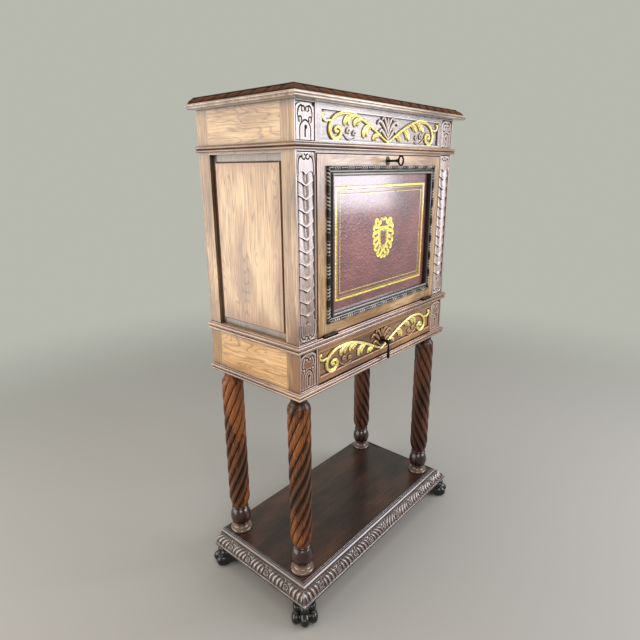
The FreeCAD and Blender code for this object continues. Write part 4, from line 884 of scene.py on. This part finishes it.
def makeColumn(word, sign):
    low, high = nodeBox(f"leg_{word}")
    centre = (low[0] + high[0]) / 2, (low[1] + high[1]) / 2
    turned(f"column_base_{word}", word, centre, column["base"], discWood)
    start, end, middle, radius, squash = column["ball"]
    ball = [(level, math.sqrt(radius ** 2 - squash * (level - middle) ** 2))
            for level in np.linspace(start, end, 34)]
    turned(f"column_ball_{word}", word, centre, ball, turnedWood)
    turned(f"column_rings_{word}", word, centre, column["rings"], turnedWood)
    start, end = column["shaft"]
    shaft = grid(start, end, 1.6)
    near = np.clip((shaft - start) / column["footTall"], 0, 1)
    far = np.clip((end - shaft) / 14, 0, 1)
    swell = column["radius"] - column["footRadius"]
    radii = column["footRadius"] + swell * np.sin(near * math.pi / 2) ** 0.8
    deep = column["deep"] * np.clip(np.minimum(near * 1.4 + 0.15, far + 0.45), 0, 1)
    shoulder = np.array(column["shoulder"])
    levels = np.concatenate([shaft, shoulder[:, 0]])
    radii = np.concatenate([radii, shoulder[:, 1]])
    deep = np.concatenate([deep, np.linspace(0.4, 0, len(shoulder)).clip(0) * column["deep"]])
    angles = np.linspace(0, 2 * math.pi, column["reeds"] * column["facets"], endpoint=False)
    twist = sign * 2 * math.pi * column["turns"] * (levels - start) / (end - start)
    phase = (angles[None, :] - twist[:, None]) * column["reeds"] / (2 * math.pi)
    across = (phase % 1) * 2 - 1
    crest = (np.sqrt(1 - (0.96 * across) ** 2) - 0.28) / 0.72
    reach = radii[:, None] - deep[:, None] * (1 - crest)
    rings = np.stack([centre[0] + reach * np.cos(angles), centre[1] + reach * np.sin(angles),
                      platformTop + levels[:, None] + 0 * reach], -1)
    # the relief paints shade into the grooves and a highlight on the crests, with two fine painted dark lines
    # along each reed
    relief = np.where(crest > 0.5, (crest - 0.5) * 1.1, (crest - 0.5) * 2.6)
    for line in (-0.5, 0.42):       # fine lines along each reed
        relief = relief - 0.45 * np.exp(-((across - line) / 0.07) ** 2)
    relief = np.clip(relief, -1, 0.7) * np.clip(deep / 2, 0, 1)[:, None]
    mesh = turnRight(skin(f"column_{word}", rings, {"relief": relief}))
    # the right-hand columns take the darker copy as painted shade
    wood = shadedColumn if "right" in word else columnWood
    link(mesh, f"rope_twist_column_{word}", wood, "case", [f"leg_{word}"], angle=50)


for end in ("front", "back"):
    makeColumn(f"{end}_left", 1)
    makeColumn(f"{end}_right", -1)
print("columns")


# paw feet: toes melted into one form


paw = {
    "place": (372, 155),        # from the middle of the object
    "top": 55.8,
    "palm": [((6, 0, 30), (41, 35, 30)), ((24, 0, 20), (34, 34, 18))],
    "toe": ((50, 21.0, 17.5), (27, 16.5, 21.0), 20),        # place, half sizes, splay
    "knuckle": ((40, 19.0, 45.5), (22, 15.5, 15.5), 15),
    "step": 12.0,        # how far the outer toes stand back
}


def makePaw(word, turn):
    form = bmesh.new()

    def ball(place, half, splay=0.0):
        matrix = (Matrix.Rotation(turn, 4, "Z") @ Matrix.Translation(Vector(place) * mm)
                  @ Matrix.Rotation(math.radians(splay), 4, "Z")
                  @ Matrix.Diagonal([value * mm for value in half] + [1]))
        bmesh.ops.create_icosphere(form, subdivisions=4, radius=1.0, matrix=matrix)

    for place, half in paw["palm"]:
        ball(place, half)
    for row in (-1, 0, 1):
        for part in ("toe", "knuckle"):
            (out, across, lift), half, splay = paw[part]
            ball((out - abs(row) * paw["step"], row * across, lift), half, row * splay)
    mesh = bpy.data.meshes.new(f"paw_{word}")
    form.to_mesh(mesh)
    form.free()
    shape = bpy.data.objects.new(f"paw_{word}", mesh)
    scene.collection.objects.link(shape)
    remesh = shape.modifiers.new("one skin", "REMESH")
    remesh.mode = "VOXEL"
    remesh.voxel_size = 1.4 * mm
    smooth = shape.modifiers.new("melt", "SMOOTH")
    smooth.factor = 0.5
    smooth.iterations = 6
    shown = shape.evaluated_get(bpy.context.evaluated_depsgraph_get())
    melted = bpy.data.meshes.new_from_object(shown)
    bpy.data.objects.remove(shape)
    signX, signY = (1 if "right" in word else -1), (1 if "back" in word else -1)
    placeX, placeY = paw["place"]
    melted.transform(Matrix.Translation(Vector((signX * placeX, signY * placeY, 0)) * mm))
    for vertex in melted.vertices:
        vertex.co.z = min(max(vertex.co.z, 0), paw["top"] * mm)
    link(melted, f"paw_foot_{word}", ebonised, "case", [f"foot_{word}"], angle=60)


for word, degrees in (("front_left", -135), ("front_right", -45), ("back_left", 135), ("back_right", 45)):
    makePaw(word, math.radians(degrees))
print("feet")


# top board with a carved sloping edge, pointed leaves side by side, each with slanted ribs

topLeaf = {"pitch": 44.0, "rib": 7.4, "slant": 16.0, "deep": 3.4}


def makeTop():
    high = topHigh[2] - topLow[2]
    profile = [(-60, 0.4), (24.5, 0.4), (25.5, 1.6)] + arc(27.6, 3.4, 2.2, -110, 40, 6)
    profile += [(29.0, 5.8), (29.8, 6.4)]
    profile += arc(29.4, 9.6, 3.2, -70, 60, 7) + [(30.6, 13.0), (29.6, 13.4)]
    profile += [(29.6 - 22.4 * share, 13.4 + 17.8 * share + 1.4 * math.sin(share * math.pi)) for share in
                np.linspace(0.05, 1, 14)]
    profile += [(5, high), (-60, high), (-60, 0.4)]
    line, normals, places = profileLine(profile, 0.9)
    start = np.argmin(np.hypot(line[:, 0] - 29.6, line[:, 1] - 13.4))
    end = np.argmin(np.hypot(line[:, 0] - 7.2, line[:, 1] - 31.2))
    outward = -normals if normals[(start + end) // 2, 0] < 0 else normals
    share = (places - places[start]) / (places[end] - places[start])
    band = (share > 0) & (share < 1)
    share = np.clip(share, 0, 1)

    def heightsFor(distance):
        ahead = distance[:, None] + topLeaf["slant"] * share[None, :]
        place = (ahead / topLeaf["pitch"]) % 1
        ribs = 0.3 + 0.7 * np.abs(np.sin(math.pi * (ahead + 4 * share[None, :]) / topLeaf["rib"])) ** 0.7
        leaf = np.clip(1 - np.abs(place - 0.5) ** 3 * 8.6, 0, 1)
        rise = np.sin(np.clip(share, 0.03, 0.97) * math.pi)[None, :] ** 0.45
        carved = topLeaf["deep"] * leaf * ribs * rise
        return np.where(band[None, :], carved - topLeaf["deep"], 0.0)

    back = topHigh[1]
    drawnOver = 33.0        # the overhang that the profile is drawn for
    scale = (topHigh[0] - caseHalf) / drawnOver
    runRound("carved_top_edge", line * (scale, 1), outward, heightsFor, 1.0, topLow[2], back, edgeWood,
             "walnut", ["top_board"], plain=lipWood, carved=band)
    middleIn = 59.9
    inside, front = caseHalf - middleIn, caseFront + middleIn
    corners = [(-inside, front), (inside, front), (inside, back), (-inside, back)]
    rings = [[(x, y, level) for x, y in corners] for level in (topLow[2] + 0.4, topHigh[2])]
    link(turnRight(skin("top_middle", rings)), "top_board_middle", woodX, "case", ["top_board"])
    print("top")


makeTop()


# fall front: bead-and-reel moulding and tooled leather


reel = {"pitch": 58.6, "gap": 9.0, "half": 2.3, "deep": 3.0}


def makeDoorMoulding():
    # long beads between threes of short reels, along the outer round of the moulding
    low, high = doorMouldLow, doorMouldHigh
    wide = 25.0
    halfX, bottom, top = high[0], low[2], high[2]
    outer = [(4.4 - 4.2 * math.cos(turn), 3.6 + 4.2 * math.sin(turn))
             for turn in np.linspace(0.1, math.pi - 0.1, 11)]
    inner = [(20.6 - 3.2 * math.cos(turn), 4.2 + 2.4 * math.sin(turn)) for turn in np.linspace(0.2, 2.9, 8)]
    profile = [(0, 0.1), (0.2, 3.4)] + outer + [(9.2, 2.6), (11.4, 1.6), (14.2, 1.6), (16.2, 3.0)] + inner
    profile += [(24.4, 2.0), (wide, 0.0), (wide, -6.9), (22.1, -6.9), (22.1, 0.1), (0, 0.1)]
    line, normals, places = profileLine(profile, 0.5)
    beads = (line[:, 0] < 8.8) & (line[:, 1] > 1.0) & (places < 24)
    innerRound = (line[:, 0] > 17.6) & (line[:, 0] < 23.6) & (line[:, 1] > 3.0)
    outward = normals if normals[np.argmax(line[:, 1]), 1] > 0 else -normals
    centreZ = (bottom + top) / 2
    halfZ = (top - bottom) / 2
    for word, span, upright in (("top", halfX, False), ("bottom", halfX, False), ("left", halfZ, True),
                                ("right", halfZ, True)):
        half = grid(0, span, 0.8)
        along = np.concatenate([-span + half, (span - half)[::-1][1:]])
        place = (np.abs(along) + reel["pitch"] / 2) % reel["pitch"] - reel["pitch"] / 2
        cut = np.zeros_like(along)
        for step in (-1.5, -0.5, 0.5, 1.5):
            cut = np.maximum(cut, np.exp(-((place - step * reel["gap"]) / reel["half"]) ** 4))
        heights = -reel["deep"] * cut[:, None] * beads[None, :]
        # painted highlight, pale on the short reels and the inner round, stronger on the top and bottom runs
        # than on the upright ones
        short = np.where(np.abs(place) < reel["gap"] * 1.5, 0.9, -0.15) * (1 - cut)
        wearAndHighlight = short[:, None] * beads[None, :] + (0.15 if upright else 0.5) * innerRound[None, :]
        side = -1 if word in ("bottom", "left") else 1

        def onRun(at, ins, ups, side=side, upright=upright, span=span):
            across = at * (span - ins)
            edge = side * ((halfX if upright else halfZ) - ins)
            x, z = (edge, across + centreZ) if upright else (across, edge + centreZ)
            return onFront(x, ups, z)

        run(f"door_moulding_{word}", line, outward, heights, along / span, onRun, blackEdge, "fall_front",
            "carved_walnut", ["door_mouldings"], reliefDepth=1.2, wearAndHighlight=wearAndHighlight)
    print("door moulding")


makeDoorMoulding()


# gold tooling: a broad line with a fine one inside it, a third fine line, and leaves round a plain shield
tooling = {
    "outer": (220, 32),        # half width of the frame, and how far it is in from the top and bottom
    "inner": (203, 49),
    "broad": 3.0,              # half widths of the lines
    "fine": 0.9,
    "besideFine": 0.7,
    "besideIn": 6.6,           # the fine line inside the broad one
    "leaves": [
        [(0, 52, 2.2), (8, 56, 3.0), (15, 50, 3.2), (20, 42, 3.4)],
        [(14, 44, 2.4), (24, 47, 3.4), (32, 53, 3.6), (40, 50, 3.4), (38, 43, 2.8)],
        [(26, 38, 2.8), (36, 34, 3.8), (45, 36, 3.6), (50, 30, 3.0), (45, 25, 2.4)],
        [(28, 22, 2.8), (36, 18, 3.8), (46, 17, 3.8), (51, 9, 3.0), (44, 5, 2.4)],
        [(28, 6, 2.8), (36, 0, 3.8), (45, -3, 3.6), (48, -11, 3.0), (41, -15, 2.4)],
        [(26, -10, 2.8), (33, -18, 3.8), (41, -22, 3.6), (41, -31, 3.0), (34, -32, 2.4)],
        [(20, -26, 2.8), (24, -36, 3.6), (30, -43, 3.4), (24, -50, 3.0), (18, -46, 2.4)],
        [(0, -34, 3.0), (9, -42, 3.4), (14, -51, 3.0), (7, -56, 2.6), (0, -50, 2.2)],
    ],
    "leafWiden": 1.3,
}


def makeLeather():
    low, high = leatherLow, leatherHigh
    field = Field(grid(low[0], high[0], 0.9), grid(low[2], high[2], 0.9))
    centre = (low[2] + high[2]) / 2
    x, z = np.abs(field.x), field.z - centre
    tall = (high[2] - low[2]) / 2
    outer, inner = (np.maximum(x - wide, np.abs(z) - (tall - inset))
                    for wide, inset in (tooling["outer"], tooling["inner"]))
    gold = np.maximum(1.0 * (np.abs(outer) < tooling["broad"]), 0.8 * (np.abs(inner) < tooling["fine"]))
    gold = np.maximum(gold, 0.8 * (np.abs(outer + tooling["besideIn"]) < tooling["besideFine"]))
    motif = Field(field.xs, field.zs - centre)
    for leaf in tooling["leaves"]:
        motif.stroke([(x, z, width * tooling["leafWiden"]) for x, z, width in leaf], 1.0, 1.0, mirror=True)
    across = np.abs(motif.x)
    shield = np.maximum(across - 17, np.maximum(motif.z - 24, -motif.z - 26 + across ** 2 / 26))
    motif.gilt = np.maximum(motif.gilt * (motif.height > 0.2), 1.0 * ((shield > 0) & (shield < 10)))
    motif.gilt = np.where(shield < 0, 0, motif.gilt)
    band = (shield < -2.5) & (shield > -4.2)
    motif.gilt = np.maximum(motif.gilt, 0.9 * band)
    gold = np.maximum(gold, motif.gilt)
    field.gilt = gold
    field.height = -0.3 * (gold > 0.4)
    sunk = low[1] - caseFront
    field.height -= sunk
    plate("tooled_leather_panel", field, high[1] - caseFront, oxblood, "fall_front",
          ["door_leather"], reach=2, depth=0.5)
    print("leather")


makeLeather()


# side panels: a raised field inside a sunk margin

sidePanel = {
    "margin": 20,
    "raised": 5.0,
    "bevel": 1.6,
    "groove": 1.2,
    "edgeBrowning": (0.6, 24),        # how brown, and over how many mm
    "lowShade": (0.3, 230),
}


def makeSidePanel(word, sign):
    low, high = nodeBox(f"side_panel_{word}")
    face = max(-low[0], high[0])
    back = min(-high[0] if sign < 0 else low[0], face)
    field = Field(grid(low[1], high[1], 1.0), grid(low[2], high[2], 1.0))
    edge = np.minimum(np.minimum(field.x - low[1], high[1] - field.x),
                      np.minimum(field.z - low[2], high[2] - field.z))
    into = edge - sidePanel["margin"]
    field.height = -sidePanel["raised"] * (1 - np.clip(into / sidePanel["bevel"], 0, 1))
    field.height -= sidePanel["groove"] * np.exp(-((into + 1.0) / 1.0) ** 2)
    # painted sheen greys the sunk margin
    sheenAndShade = 1 - np.clip((into + 1) / 2.0, 0, 1)
    middle = (low[2] + high[2]) / 2
    (byEdge, edgeReach), (lowDown, lowReach) = sidePanel["edgeBrowning"], sidePanel["lowShade"]
    browning = (byEdge * np.exp(-np.maximum(into, 0) / edgeReach)
               + lowDown * np.clip((middle - field.z) / lowReach, 0, 1))
    sheenAndShade = np.where(into > 1, -browning, sheenAndShade)       # browner by the edges, and browner low down as painted shade where the sheen fades

    def onSide(across, out, up):
        return np.stack([sign * (face + out), across, up], -1)

    plate(f"raised_side_panel_{word}", field, face - back, panelWood, "case",
          [f"side_panel_{word}"], place=onSide, reach=3, depth=1.6, sheenAndShade=sheenAndShade)


makeSidePanel("left", -1)
makeSidePanel("right", 1)
print("side panels")


# the remaining nodes keep their solids and take their materials

finishes = {
    woodX: ["case_bottom_board", "front_top_rail", "door_bottom_rail", "door_top_rail", "case_floor_board"],
    woodZ: ["post_back_left", "post_back_right", "door_stiles"],
    woodY: ["upper_side_boards"],
    lowWood: ["lower_side_boards"],
    mouldX: ["bottom_moulding_front", "waist_moulding_front", "middle_moulding_front"],
    mouldY: ["bottom_moulding_sides", "waist_moulding_sides", "middle_moulding_sides"],
    standX: ["platform_board", "platform_back_rail"],
    paleWood: ["platform_corner_blocks", "ceiling_board", "back_panel", "shelf", "shelf_cleats", "door_panel",
               "drawer_sides", "drawer_bottom", "drawer_back", "drawer_runners", "drawer_kickers"],
    agedBrass: ["quadrant_stays", "stay_guides", "strike_plate", "lock_case"],
    darkBrass: ["hinge_case_leaves", "hinge_door_leaves", "hinge_pins", "key_escutcheon"],
    blackIron: ["drawer_pull_post", "drawer_pull_drop", "lock_bolt", "key"],
}
for material, names in finishes.items():
    for name in names:
        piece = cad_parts[name]
        piece.data.materials.clear()
        piece.data.materials.append(material)

for name in ("door_stiles", "door_top_rail", "door_bottom_rail", "post_back_left", "post_back_right",
             "lower_side_boards", "upper_side_boards", "case_bottom_board", "platform_board"):
    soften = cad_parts[name].modifiers.new("soft edge", "BEVEL")
    soften.width = 0.9 * mm
    soften.segments = 2
    soften.limit_method = "ANGLE"
print("finishes")


# stage, light and camera


studioColour = "#b7b9af"


def makeStage():
    # the floor fades into the colour of the studio, so no horizon shows
    mesh = bpy.data.meshes.new("floor")
    wide = 30.0
    corners = [(-wide, -wide, 0), (wide, -wide, 0), (wide, wide, 0), (-wide, wide, 0)]
    mesh.from_pydata(corners, [], [(0, 1, 2, 3)])
    floor = bpy.data.objects.new("floor", mesh)
    scene.collection.objects.link(floor)
    material, tree, surface = newMaterial("pale_floor")
    wire(tree, surface, {"Base Color": toLinear("#96938f"), "Roughness": 0.6})
    distance = addNode(tree, "ShaderNodeVectorMath", None, {0: ownPlace(tree)},
                       operation="LENGTH").outputs["Value"]
    far = addNode(tree, "ShaderNodeMapRange", {"From Min": 1.2, "From Max": 3.4}, {"Value": distance},
                  interpolation_type="SMOOTHSTEP").outputs["Result"]
    backdrop = addNode(tree, "ShaderNodeEmission", {"Color": toLinear(studioColour), "Strength": 1.0})
    blend = addNode(tree, "ShaderNodeMixShader", None,
                    {0: far, 1: surface.outputs[0], 2: backdrop.outputs[0]})
    tree.links.new(blend.outputs[0], tree.nodes["Material Output"].inputs["Surface"])
    mesh.materials.append(material)
    world = bpy.data.worlds.new("studio")
    scene.world = world
    world.use_nodes = True
    wire(world.node_tree, world.node_tree.nodes["Background"],
         {"Color": toLinear(studioColour), "Strength": 1.0})


def areaLight(name, place, target, size, power, colour="#ffffff"):
    light = bpy.data.lights.new(name, "AREA")
    light.shape = "RECTANGLE"
    light.size, light.size_y = size
    light.energy = power
    light.color = toLinear(colour)[:3]
    lamp = bpy.data.objects.new(name, light)
    lamp.location = place
    lamp.rotation_euler = (Vector(target) - Vector(place)).to_track_quat("-Z", "Y").to_euler()
    lamp.visible_camera = False
    scene.collection.objects.link(lamp)


makeStage()
areaLight("window_right", (1.62, -2.15, 1.68), (0.0, -0.1, 1.1), (1.8, 1.5), 76, "#f4f4ff")
areaLight("window_left", (-2.0, 1.2, 1.0), (-0.3, 0, 1.05), (2.1, 1.6), 41, "#fffaf6")
areaLight("camera_side", (-1.9, -1.9, 2.3), (0, 0, 1.0), (1.4, 1.2), 38, "#fff8f0")
areaLight("over", (0.1, 0.1, 3.0), (0, 0, 0.5), (2.2, 1.6), 32)

# the camera that was fitted to the photo's edges
focal = 27.94
cameraPlace = (-1.2269, -0.9703, 1.2687)
yaw, pitch, roll = 0.8547, -0.2958, -0.0072


def makeCamera():
    forward = Vector((math.sin(yaw) * math.cos(pitch), math.cos(yaw) * math.cos(pitch), math.sin(pitch)))
    right = Vector((math.cos(yaw), -math.sin(yaw), 0))
    up = right.cross(forward)
    across = math.cos(roll) * right + math.sin(roll) * up
    upward = -math.sin(roll) * right + math.cos(roll) * up
    camera = bpy.data.cameras.new("view")
    camera.lens = focal
    camera.sensor_width = 36
    seen = bpy.data.objects.new("view", camera)
    matrix = Matrix((across, upward, -forward)).transposed().to_4x4()
    matrix.translation = Vector(cameraPlace)
    seen.matrix_world = matrix
    scene.collection.objects.link(seen)
    scene.camera = seen


makeCamera()
scene.view_settings.view_transform = "Standard"
